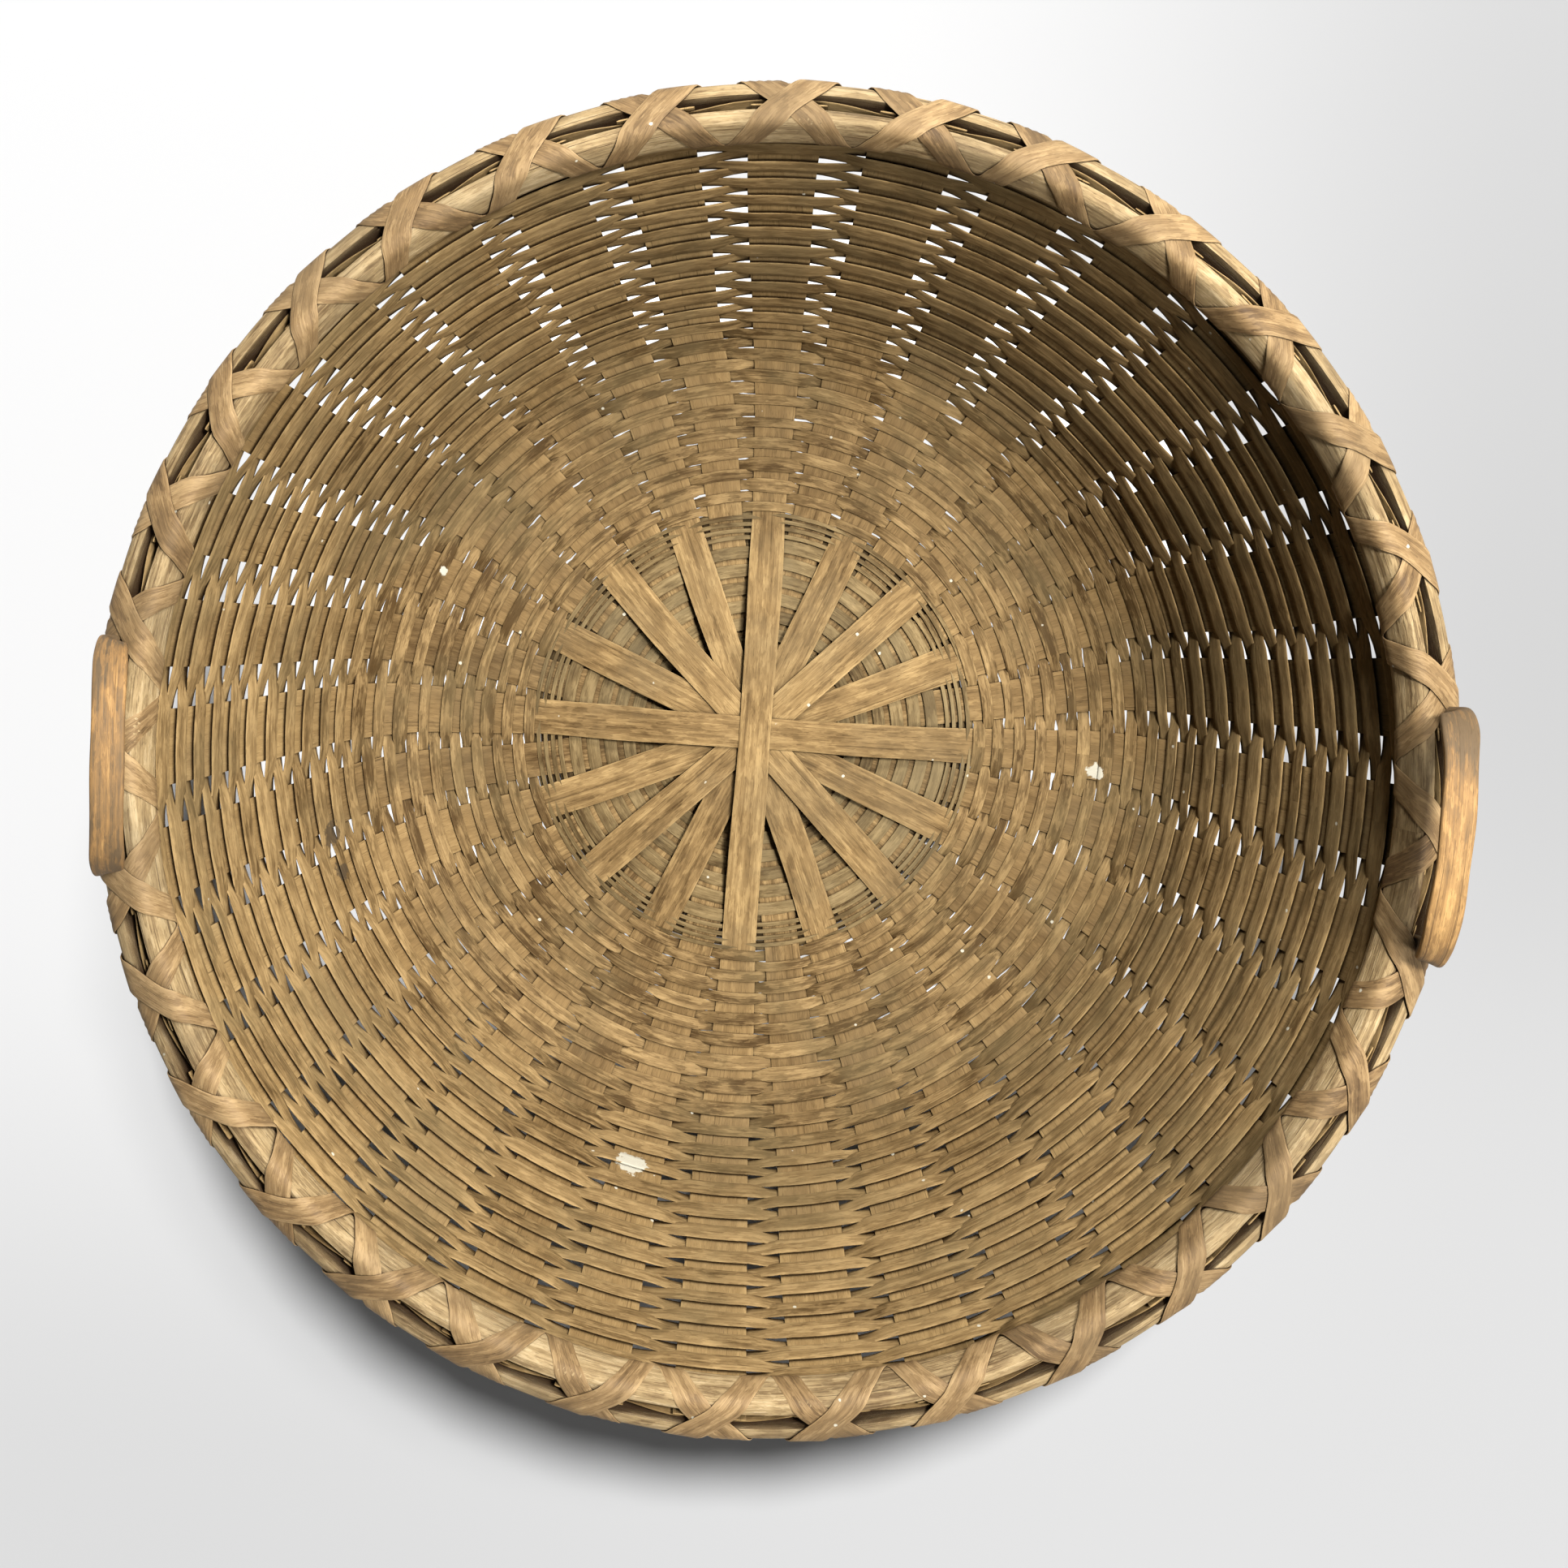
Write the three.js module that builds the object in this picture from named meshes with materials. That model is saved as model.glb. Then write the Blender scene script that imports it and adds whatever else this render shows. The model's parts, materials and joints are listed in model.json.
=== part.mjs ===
// Round splint basket with two ear handles.
// Sixteen splints cross in two wheels to make a double bottom and turn up as thirty-two uprights.
// Flat weavers run round the uprights, over one and under one.
// A pair of hoops, bound by crossed lashing, holds the rim.
import * as THREE from "three";

// Sizes in millimetres, angles in degrees.
const WHEEL_SPLINTS = 8; // splints crossed in each wheel of the bottom
const SPLINT_THICK = 0.8;
const SPLINT_BASE_WIDTH = 16; // width of a splint across the bottom
const SPLINT_RIM_WIDTH = 34; // width of an upright at the rim
const LAY_CLEAR = 0.12; // air between splints stacked at the hub
const LOWER_SETTLE = 16; // run in which a lower splint comes down from its place in the stack
const ARM_CIRCLE_RADIUS = 117; // where the two wheels are first woven together

const WEAVER_THICK = 0.7;
const ROW_GAP = 1.1; // slit between neighbouring rows
const CLEAR = 0.3; // air between pieces that touch
const NARROW_ROWS = 5; // rows woven through the lower wheel alone
const NARROW_PITCH = 8.4;
const BASE_ROWS = 5; // rows on the flat of the bottom
const REST_ROWS = 2; // the outer ones of these, that stand on the ground
const BASE_PITCH = 9;
const CORNER_BENDS = 4; // straight steps in which the uprights turn up
const BEND_ROWS = 2; // rows on each step
const CORNER_PITCH = 9;
const WALL_ROWS = 16;
const WALL_PITCH = 8.6;
const WALL_ANGLE = 65; // slope of the wall above the ground
const RIM_TURN = 0.5; // how far round the rim stands against the bottom, in an old basket out of true
const RIM_DRAW = 3.6; // and how much further on one side, and less on the other
const RIM_DRAW_SIDE = 139; // side where it is most

const HOOP_HEIGHT = 20;
const HOOP_THICK = 8.5;
const HOOP_SIDES = 64;
const LASH_THICK = 0.7;
const LASH_WIDTH = 13;

const HANDLE_SPAN = 110; // over the outside of the loop
const HANDLE_RISE = 44; // from the top of the rim to the top of the loop
const HANDLE_WIDTH = 16; // across the band, from inside to outside of the basket
const HANDLE_THICK = 7;
const HANDLE_LEAN = -2; // outward lean of the loop
const HANDLE_STEPS = 12;
const LEG_WIDTH = 9;
const LEG_INSET = 8.5; // from the middle of an upright towards the middle of the handle
const TONGUE_THICK = 1.2; // thinned end of a leg, pushed down beside an upright
const TONGUE_LENGTH = 62;

const UPRIGHTS = 4 * WHEEL_SPLINTS;
const step = (2 * Math.PI) / UPRIGHTS;
const armStep = 2 * step;
const rad = Math.PI / 180;

const wood = (color, roughness) => new THREE.MeshStandardMaterial({ color, roughness, metalness: 0 });
const uprightWood = wood("#8f744b", 0.8);
const weaverWood = wood("#a1834f", 0.8);
const hoopWood = wood("#8a6a3e", 0.7);
const lashWood = wood("#a87c42", 0.7);
const handleWood = wood("#ae7a3f", 0.6);

const basket = new THREE.Group();

// A skin over rings of points, each ring a section of the piece. An open run is capped at both ends.
function loft(rings, closed) {
  const m = rings[0].length;
  const points = rings.flat();
  const faces = [];
  const runs = closed ? rings.length : rings.length - 1;
  for (let i = 0; i < runs; i++)
    for (let j = 0; j < m; j++) {
      const a = i * m + j;
      const b = i * m + ((j + 1) % m);
      const c = ((i + 1) % rings.length) * m + j;
      const d = ((i + 1) % rings.length) * m + ((j + 1) % m);
      faces.push([a, b, d], [a, d, c]);
    }
  if (!closed) {
    const last = (rings.length - 1) * m;
    for (let j = 1; j < m - 1; j++) faces.push([0, j + 1, j], [last, last + j, last + j + 1]);
  }
  let volume = 0;
  for (const [a, b, c] of faces) volume += points[a].dot(points[b].clone().cross(points[c]));
  const index = faces.flatMap(([a, b, c]) => (volume < 0 ? [a, c, b] : [a, b, c]));
  const geometry = new THREE.BufferGeometry().setFromPoints(points);
  geometry.setIndex(index);
  geometry.computeVertexNormals();
  return geometry;
}

// Out of true: from the flat of the bottom to the rim a piece is drawn round the axis, more on one side.
const axis = new THREE.Vector3(0, 0, 1);
function outOfTrue(geometry, turn) {
  const drawn = geometry.clone();
  const points = drawn.getAttribute("position");
  const p = new THREE.Vector3();
  for (let i = 0; i < points.count; i++) {
    p.fromBufferAttribute(points, i);
    const way = Math.atan2(p.y, p.x) + turn;
    const share = THREE.MathUtils.smoothstep(Math.hypot(p.x, p.y), flatRadius, rim.r);
    const most = RIM_TURN + RIM_DRAW * Math.cos(way - RIM_DRAW_SIDE * rad);
    p.applyAxisAngle(axis, share * most * rad);
    points.setXYZ(i, p.x, p.y, p.z);
  }
  drawn.computeVertexNormals();
  return drawn;
}

function add(name, geometry, material, turn = 0) {
  const mesh = new THREE.Mesh(outOfTrue(geometry, turn), material);
  mesh.name = name;
  mesh.rotation.z = turn;
  basket.add(mesh);
}

// Offsets along a polyline's normals at each of its points, mitred so that a strip keeps its thickness
// round a bend.
function mitres(points, closed) {
  const n = points.length;
  return points.map((p, i) => {
    const before = points[closed ? (i + n - 1) % n : Math.max(i - 1, 0)];
    const after = points[closed ? (i + 1) % n : Math.min(i + 1, n - 1)];
    const a = new THREE.Vector2().subVectors(p, before);
    const b = new THREE.Vector2().subVectors(after, p);
    if (a.length() === 0) a.copy(b);
    if (b.length() === 0) b.copy(a);
    a.normalize();
    b.normalize();
    const na = new THREE.Vector2(a.y, -a.x);
    const nb = new THREE.Vector2(b.y, -b.x);
    const mean = na.clone().add(nb).normalize();
    return mean.divideScalar(Math.max(mean.dot(na), 0.3));
  });
}

// How far a row stands off the middle of each upright, out (+) or in (-), so that its straight run from one to
// the next clears their edges. The next upright's face has turned away by a drop that depends on the slope of
// the wall, and each stand-off depends on its neighbours', so they are settled together.
const seat = (SPLINT_THICK + WEAVER_THICK) / 2 + CLEAR;
const settlePasses = 40;
const plainNeed = { need: seat, reach: 0 };
function standOffs(at, count, outside, needAt = () => plainNeed) {
  const turn = (2 * Math.PI) / count;
  const outward = Math.sin(at.angle);
  const span = at.r * Math.sin(turn);
  const share = (at.half + CLEAR / 2) / span;
  const drop = at.r * (1 - Math.cos(turn)) * outward;
  const agree = 1 - outward * outward * (1 - Math.cos(turn));
  const stands = new Array(count).fill(seat);
  for (let pass = 0; pass < settlePasses; pass++)
    for (let k = 0; k < count; k++) {
      const across = agree * Math.max(stands[(k + 1) % count], stands[(k + count - 1) % count]);
      if (!outside(k)) stands[k] = Math.max(seat, (seat - share * drop + share * across) / (1 - share));
      else {
        const { need, reach } = needAt(k);
        const far = reach / span;
        const clearEdge = (seat + share * (drop + across)) / (1 - share);
        stands[k] = Math.max(clearEdge, (need + far * (drop + across)) / (1 - far));
      }
    }
  return stands.map((stand, k) => (outside(k) ? stand : -stand));
}

// The run of the uprights from the arm circle to the rim, as straight steps that each carry whole rows.
const flatRadius = ARM_CIRCLE_RADIUS + BASE_ROWS * BASE_PITCH;
const steps = [{ angle: 0, rows: BASE_ROWS, pitch: BASE_PITCH }];
for (let i = 0; i < CORNER_BENDS; i++) {
  const angle = (WALL_ANGLE * rad * (i + 0.75)) / (CORNER_BENDS + 0.5);
  steps.push({ angle, rows: BEND_ROWS, pitch: CORNER_PITCH });
}
steps.push({ angle: WALL_ANGLE * rad, rows: WALL_ROWS, pitch: WALL_PITCH });
const rimDrop = HOOP_HEIGHT / 2 + 2 * (LASH_THICK + CLEAR) + 3 * CLEAR; // last open row to middle of hoops
const woven = steps.reduce((sum, s) => sum + s.rows * s.pitch, 0);
const run = woven + rimDrop + HOOP_HEIGHT / 2;
const widening = (SPLINT_RIM_WIDTH - SPLINT_BASE_WIDTH) / run;
const halfWidthAt = (s) => (SPLINT_BASE_WIDTH + widening * s) / 2;

// The height of the bottom leaves room for the deepest weaver below it.
const hubFlat = (SPLINT_BASE_WIDTH / 2 + CLEAR) / Math.tan(armStep / 2) + CLEAR;
const settled = hubFlat + LOWER_SETTLE;
const narrowFirst = ARM_CIRCLE_RADIUS - SPLINT_BASE_WIDTH / 2 - NARROW_PITCH * (NARROW_ROWS + 0.5);
const narrowRadius = (i) => Math.max(narrowFirst, settled) + NARROW_PITCH * (i + 0.5);
const everyOther = (k) => k % 2 === 0;
let deepest = 0;
for (let i = 0; i < NARROW_ROWS; i++) {
  const at = { r: narrowRadius(i), angle: 0, half: SPLINT_BASE_WIDTH / 2 };
  deepest = Math.max(deepest, ...standOffs(at, 2 * WHEEL_SPLINTS, everyOther));
}
for (let i = 0; i < BASE_ROWS; i++) {
  const r = ARM_CIRCLE_RADIUS + BASE_PITCH * (i + 0.5);
  const at = { r, angle: 0, half: halfWidthAt(BASE_PITCH * (i + 1)) };
  deepest = Math.max(deepest, ...standOffs(at, UPRIGHTS, everyOther));
}
const bottomHeight = deepest + WEAVER_THICK / 2 + CLEAR / 2;

const corners = [new THREE.Vector2(ARM_CIRCLE_RADIUS, bottomHeight)];
const rows = [];
let along = 0;
for (const s of steps) {
  const start = corners[corners.length - 1];
  const way = new THREE.Vector2(Math.cos(s.angle), Math.sin(s.angle));
  for (let i = 0; i < s.rows; i++) {
    const centre = start.clone().addScaledVector(way, (i + 0.5) * s.pitch);
    const half = halfWidthAt(along + (i + 1) * s.pitch);
    rows.push({ r: centre.x, z: centre.y, angle: s.angle, width: s.pitch - ROW_GAP, half });
  }
  along += s.rows * s.pitch;
  corners.push(start.clone().addScaledVector(way, s.rows * s.pitch));
}
const wallWay = new THREE.Vector2(Math.cos(WALL_ANGLE * rad), Math.sin(WALL_ANGLE * rad));
const rimMid = corners[corners.length - 1].clone().addScaledVector(wallWay, rimDrop);
const rim = {
  r: rimMid.x,
  z: rimMid.y,
  angle: WALL_ANGLE * rad,
  width: HOOP_HEIGHT - 2 * ROW_GAP,
  half: SPLINT_RIM_WIDTH / 2,
};
corners[corners.length - 1] = rimMid.clone().addScaledVector(wallWay, HOOP_HEIGHT / 2 - CLEAR);

// A point near a place on the wall: n out through the wall, t up along it and u round it.
function place(at, turn, n, t, u = 0) {
  const s = Math.sin(at.angle);
  const c = Math.cos(at.angle);
  const r = at.r + n * s + t * c;
  const x = r * Math.cos(turn) - u * Math.sin(turn);
  const y = r * Math.sin(turn) + u * Math.cos(turn);
  return new THREE.Vector3(x, y, at.z - n * c + t * s);
}

// Splints: flat at the hub, each on its own layer, down to the bottom, out under the rows and up the wall.
// Neighbours in the lower wheel lie at most two layers apart, so that the narrow rows pass from one to the
// next.
const layer = SPLINT_THICK + LAY_CLEAR;
const wheelOrder = (i) => (2 * i < WHEEL_SPLINTS ? 2 * i : 2 * (WHEEL_SPLINTS - i) - 1);
function splint(level, settle) {
  const arm = [new THREE.Vector2(hubFlat, bottomHeight + level)];
  const half = [SPLINT_BASE_WIDTH / 2];
  if (settle < ARM_CIRCLE_RADIUS) {
    arm.push(new THREE.Vector2(settle, bottomHeight));
    half.push(SPLINT_BASE_WIDTH / 2);
  }
  let s = 0;
  corners.forEach((p, i) => {
    if (i) s += p.distanceTo(corners[i - 1]);
    arm.push(p);
    half.push(halfWidthAt(s));
  });
  const back = arm.map((p) => new THREE.Vector2(-p.x, p.y)).reverse();
  const path = [...back, ...arm];
  const widths = [...half.slice().reverse(), ...half];
  const skew = mitres(path, false);
  const rings = path.map((p, i) => {
    const o = skew[i].clone().multiplyScalar(SPLINT_THICK / 2);
    const w = widths[i];
    return [
      new THREE.Vector3(p.x + o.x, -w, p.y + o.y),
      new THREE.Vector3(p.x + o.x, w, p.y + o.y),
      new THREE.Vector3(p.x - o.x, w, p.y - o.y),
      new THREE.Vector3(p.x - o.x, -w, p.y - o.y),
    ];
  });
  return loft(rings, false);
}
const upperLift = WHEEL_SPLINTS * layer;
// In the upper wheel the splint square to the handles' axis lies on top, below it the one along the axis, then
// those half way between these two, and so on down.
const commonPart = (a, b) => (b ? commonPart(b, a % b) : a);
const rank = (i) => commonPart((i + WHEEL_SPLINTS / 2) % WHEEL_SPLINTS, WHEEL_SPLINTS);
const upperStack = [...Array(WHEEL_SPLINTS).keys()].sort((a, b) => rank(a) - rank(b));
for (let i = 0; i < WHEEL_SPLINTS; i++)
  add("base_splint_lower_" + (i + 1), splint(layer * wheelOrder(i), settled), uprightWood, (i + 0.5) * armStep);
for (let i = 0; i < WHEEL_SPLINTS; i++) {
  const level = upperLift + layer * upperStack.indexOf(i);
  add("base_splint_upper_" + (i + 1), splint(level, ARM_CIRCLE_RADIUS), uprightWood, i * armStep);
}

// A weaver: a flat strip round the basket whose section at each upright lies outside or inside it.
function weaver(at, count, turn0, stations) {
  const rings = [];
  for (let k = 0; k < count; k++)
    for (const { n, u } of stations(k)) {
      const turn = turn0 + (k * 2 * Math.PI) / count;
      const w = at.width / 2;
      const t = WEAVER_THICK / 2;
      rings.push([
        place(at, turn, n + t, -w, u),
        place(at, turn, n + t, w, u),
        place(at, turn, n - t, w, u),
        place(at, turn, n - t, -w, u),
      ]);
    }
  return loft(rings, true);
}

for (let i = 0; i < NARROW_ROWS; i++) {
  const half = SPLINT_BASE_WIDTH / 2;
  const at = { r: narrowRadius(i), z: bottomHeight, angle: 0, width: NARROW_PITCH - ROW_GAP, half };
  const stands = standOffs(at, 2 * WHEEL_SPLINTS, (k) => (k + i) % 2 === 0);
  add("base_weaver_" + (i + 1), weaver(at, stands.length, step, (k) => [{ n: stands[k], u: 0 }]), weaverWood);
}

// The legs of the handles go down outside the uprights next to the middle ones, under the rows that pass
// outside there.
const legUprights = [1, UPRIGHTS / 2 - 1, UPRIGHTS / 2 + 1, UPRIGHTS - 1];
const holdsLeg = (k) => legUprights.includes(k);
const legSeat = SPLINT_THICK / 2 + CLEAR;
const overTongue = {
  need: legSeat + TONGUE_THICK + CLEAR + WEAVER_THICK / 2,
  reach: LEG_INSET + LEG_WIDTH / 2 + CLEAR,
};
const restDepth = bottomHeight - WEAVER_THICK / 2;
rows.forEach((at, i) => {
  const down = rows.length - i; // rows below the one at the rim
  const outside = (k) => (k + down) % 2 === 0;
  const name = "wall_weaver_" + String(i + 1).padStart(2, "0");
  if (i < BASE_ROWS && i >= BASE_ROWS - REST_ROWS) {
    // A row that stands on the ground lies flat under each upright that it passes below.
    const edge = at.half + CLEAR;
    const flat = (k) => (outside(k) ? restDepth : -seat);
    add(
      name,
      weaver(at, UPRIGHTS, 0, (k) => [
        { n: flat(k), u: -edge },
        { n: flat(k), u: edge },
      ]),
      weaverWood,
    );
    return;
  }
  const covers = rim.z - at.z < (HOOP_HEIGHT / 2 + TONGUE_LENGTH + WALL_PITCH) * wallWay.y;
  const needAt = (k) => (covers && holdsLeg(k) ? overTongue : plainNeed);
  const stands = standOffs(at, UPRIGHTS, outside, needAt);
  add(name, weaver(at, UPRIGHTS, 0, (k) => [{ n: stands[k], u: 0 }]), weaverWood);
});

// The top row runs between the hoops.
const rimStands = standOffs({ ...rim, r: rim.r + HOOP_HEIGHT * wallWay.x }, UPRIGHTS, everyOther);
add("rim_weaver", weaver(rim, UPRIGHTS, 0, (k) => [{ n: rimStands[k], u: 0 }]), weaverWood);

// Hoops: shaved half-round, flat against the wall and tilted with it.
const hoopSag = rim.r * (1 - Math.cos(Math.PI / HOOP_SIDES));
const innerFace = Math.min(...rimStands) - WEAVER_THICK / 2 - CLEAR;
const outerFace = Math.max(...rimStands) + WEAVER_THICK / 2 + CLEAR + hoopSag;
const bellyLow = -0.15 * HOOP_HEIGHT; // where the hoop is thickest, from the middle of its height
const bellyHigh = 0.28 * HOOP_HEIGHT;
const crownThick = 0.75 * HOOP_THICK; // at its flat top
const hoopSection = [
  [0, -HOOP_HEIGHT / 2],
  [HOOP_THICK, bellyLow],
  [HOOP_THICK, bellyHigh],
  [crownThick, HOOP_HEIGHT / 2],
  [0, HOOP_HEIGHT / 2],
];
function hoop(face, side) {
  const profile = hoopSection.map(([out, up]) => {
    const p = place(rim, 0, face + side * out, up);
    return new THREE.Vector2(p.x, p.z);
  });
  if (side < 0) profile.reverse();
  profile.push(profile[0].clone());
  const geometry = new THREE.LatheGeometry(profile, HOOP_SIDES);
  geometry.rotateX(Math.PI / 2);
  geometry.deleteAttribute("uv");
  return geometry;
}
add("inner_hoop", hoop(innerFace, -1), hoopWood);
add("outer_hoop", hoop(outerFace, 1), hoopWood);

// Lashing: two flat strands wound round both hoops in opposite directions, one over the other. Each comes up
// inside through the gap before an upright, crosses the rim above it and goes in through the gap after it.
// Here turn is the share of the way round from one gap to the next.
const overCrown = { from: 0.27, to: 0.7 };
const crownIn = innerFace - crownThick;
const crownOut = outerFace + crownThick;
const slant = ((overCrown.to - overCrown.from) * step * rim.r) / (crownOut - crownIn);
const strandReach = LASH_WIDTH / 2 + slant * (outerFace - innerFace);
const legAside = Math.max(0, strandReach + LEG_WIDTH / 2 + CLEAR - LEG_INSET) / (rim.r * step);
const asideAt = new Map(legUprights.map((k, i) => [k, i % 2 ? -legAside : legAside]));
const roundHoops = [
  { n: innerFace, t: -HOOP_HEIGHT / 2, turn: 0, give: 0 },
  { n: innerFace - HOOP_THICK, t: bellyLow, turn: 0.08, give: 0.3 },
  { n: innerFace - HOOP_THICK, t: bellyHigh, turn: 0.2, give: 0.8 },
  { n: crownIn, t: HOOP_HEIGHT / 2, turn: overCrown.from, give: 1 },
  { n: crownOut, t: HOOP_HEIGHT / 2, turn: overCrown.to, give: 1 },
  { n: outerFace + HOOP_THICK, t: bellyHigh, turn: 0.78, give: 0.8 },
  { n: outerFace + HOOP_THICK, t: bellyLow, turn: 0.92, give: 0.3 },
  { n: outerFace, t: -HOOP_HEIGHT / 2, turn: 1, give: 0 },
];
const hoopsSkew = mitres(roundHoops.map((p) => new THREE.Vector2(p.n, p.t)), true);
function lashing(direction, level) {
  const off = CLEAR + LASH_THICK / 2 + hoopSag + level * (LASH_THICK + CLEAR);
  const rings = [];
  for (let g = 0; g < UPRIGHTS; g++) {
    const upright = (direction * (g + 1) + UPRIGHTS) % UPRIGHTS;
    const aside = direction * (asideAt.get(upright) ?? 0); // a crossing stands clear of a handle's leg
    roundHoops.forEach((p, i) => {
      const turn = direction * (g + 0.5 + p.turn + aside * p.give) * step;
      const outer = hoopsSkew[i].clone().multiplyScalar(-off - LASH_THICK / 2);
      const inner = hoopsSkew[i].clone().multiplyScalar(-off + LASH_THICK / 2);
      const w = LASH_WIDTH / 2;
      rings.push([
        place(rim, turn, p.n + outer.x, p.t + outer.y, -w),
        place(rim, turn, p.n + outer.x, p.t + outer.y, w),
        place(rim, turn, p.n + inner.x, p.t + inner.y, w),
        place(rim, turn, p.n + inner.x, p.t + inner.y, -w),
      ]);
    });
  }
  return loft(rings, true);
}
add("rim_lashing_under", lashing(1, 0), lashWood);
add("rim_lashing_over", lashing(-1, 1), lashWood);

// Ear handles: a bent band standing over the rim, its legs thinned to pass between the hoops and end as
// tongues.
const legThick = outerFace - hoopSag - CLEAR - legSeat;
const legTop = HOOP_HEIGHT / 2 + 2 * (LASH_THICK + 2 * CLEAR); // above both strands of the lashing
const chamfer = 0.35;
const bandSection = [
  [1, -1 + chamfer],
  [1, 1 - chamfer],
  [1 - chamfer, 1],
  [chamfer - 1, 1],
  [-1, 1 - chamfer],
  [-1, chamfer - 1],
  [chamfer - 1, -1],
  [1 - chamfer, -1],
];
const ringOf = (centre, across, up) =>
  bandSection.map(([a, b]) => centre.clone().addScaledVector(across, a).addScaledVector(up, b));
function legRings(side) {
  const turn = side * step;
  const u = -side * LEG_INSET;
  const out = place(rim, turn, 1, 0).sub(place(rim, turn, 0, 0));
  const round = new THREE.Vector3(-Math.sin(turn), Math.cos(turn), 0).multiplyScalar((side * LEG_WIDTH) / 2);
  const thin = legSeat + TONGUE_THICK / 2;
  const thick = legSeat + legThick / 2;
  const low = HOOP_HEIGHT / 2;
  const tip = TONGUE_LENGTH / 5; // run in which the tongue narrows to half its width
  return [
    { n: thin, t: -low - TONGUE_LENGTH, h: TONGUE_THICK / 2, w: 0.5 },
    { n: thin, t: -low - TONGUE_LENGTH + tip, h: TONGUE_THICK / 2, w: 1 },
    { n: thin, t: -low - CLEAR, h: TONGUE_THICK / 2, w: 1 },
    { n: thick, t: -low + LEG_WIDTH / 2, h: legThick / 2, w: 1 },
    { n: thick, t: legTop, h: legThick / 2, w: 1 },
  ].map((p) => {
    const centre = place(rim, turn, p.n, p.t, u);
    return ringOf(centre, out.clone().multiplyScalar(p.h), round.clone().multiplyScalar(p.w));
  });
}
function handle() {
  const rimTop = rim.z + (HOOP_HEIGHT / 2) * wallWay.y;
  const foot = place(rim, step, legSeat + legThick / 2, legTop, -LEG_INSET);
  const lean = Math.tan(HANDLE_LEAN * rad);
  const halfSpan = (HANDLE_SPAN - HANDLE_THICK) / 2;
  const bottom = foot.z + HANDLE_THICK / 3;
  const rise = rimTop + HANDLE_RISE - HANDLE_THICK / 2 - bottom;
  const across = new THREE.Vector3(Math.cos(HANDLE_LEAN * rad), 0, -Math.sin(HANDLE_LEAN * rad));
  const square = 0.8; // below 1, the loop's shoulders are squarer than a half ellipse
  const spreadRate = 1.6; // how soon the band reaches its full width
  const loop = [];
  for (let i = 0; i <= HANDLE_STEPS; i++) {
    const turn = (Math.PI * i) / HANDLE_STEPS;
    const high = Math.pow(Math.sin(turn), square);
    const z = bottom + rise * high;
    const centre = new THREE.Vector3(foot.x + (z - foot.z) * lean, -halfSpan * Math.cos(turn), z);
    const up = new THREE.Vector3(0, -Math.cos(turn) * rise, Math.sin(turn) * halfSpan).normalize();
    up.x = up.z * lean;
    const spread = Math.min(1, high * spreadRate);
    const wide = legThick + (HANDLE_WIDTH - legThick) * spread;
    const thick = LEG_WIDTH + (HANDLE_THICK - LEG_WIDTH) * spread;
    loop.push(ringOf(centre, across.clone().multiplyScalar(wide / 2), up.multiplyScalar(thick / 2)));
  }
  return loft([...legRings(-1), ...loop, ...legRings(1).reverse()], false);
}
const ear = handle();
add("ear_handle_right", ear, handleWood);
add("ear_handle_left", ear, handleWood, Math.PI);

export default basket;
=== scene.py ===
import json
import math
import bpy
import numpy as np
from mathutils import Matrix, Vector

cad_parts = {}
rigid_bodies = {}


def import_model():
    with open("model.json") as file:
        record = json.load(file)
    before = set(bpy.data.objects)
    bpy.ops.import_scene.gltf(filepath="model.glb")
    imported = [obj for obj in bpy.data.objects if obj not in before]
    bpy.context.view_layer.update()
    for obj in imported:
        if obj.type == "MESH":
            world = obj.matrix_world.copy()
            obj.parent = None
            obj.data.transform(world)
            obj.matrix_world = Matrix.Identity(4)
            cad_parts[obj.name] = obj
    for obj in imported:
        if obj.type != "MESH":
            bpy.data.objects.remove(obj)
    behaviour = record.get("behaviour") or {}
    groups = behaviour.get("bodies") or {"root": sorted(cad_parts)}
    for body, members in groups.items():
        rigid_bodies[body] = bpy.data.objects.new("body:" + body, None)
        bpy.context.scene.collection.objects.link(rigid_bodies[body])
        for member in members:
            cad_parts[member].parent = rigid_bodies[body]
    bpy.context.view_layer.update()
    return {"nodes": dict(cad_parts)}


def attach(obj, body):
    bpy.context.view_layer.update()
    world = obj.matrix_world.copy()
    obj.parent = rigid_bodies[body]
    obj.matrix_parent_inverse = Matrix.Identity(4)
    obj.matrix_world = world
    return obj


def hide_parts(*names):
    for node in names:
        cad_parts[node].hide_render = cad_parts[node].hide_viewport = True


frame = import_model()
scene = bpy.context.scene
scene.view_settings.view_transform = "Standard"
chance = np.random.default_rng(77)
print("frame loaded:", len(frame["nodes"]), "solids")

# The line that the uprights follow in section: metres, and radians for angles
wallForm = {
    "uprights": 32,
    "flatEnd": 0.1626,  # the bottom starts to turn up
    "turnLength": 0.072,  # length of the arc
    "slope": math.radians(65),
    "bottom": 0.0043,  # middle of the bottom splints above the ground
    "sag": 0.0017,  # the ring that the basket stands on lies lower than the middle
    "sagAt": 0.158,
    "sagReach": 0.034,
    "openTop": 0.3728,  # top of the last row below the hoops
    "rimMiddle": 0.38568,  # middle of the hoops
}
step = 2 * math.pi / wallForm["uprights"]
turnRadius = wallForm["turnLength"] / wallForm["slope"]
turnEnd = wallForm["flatEnd"] + wallForm["turnLength"]


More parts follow.
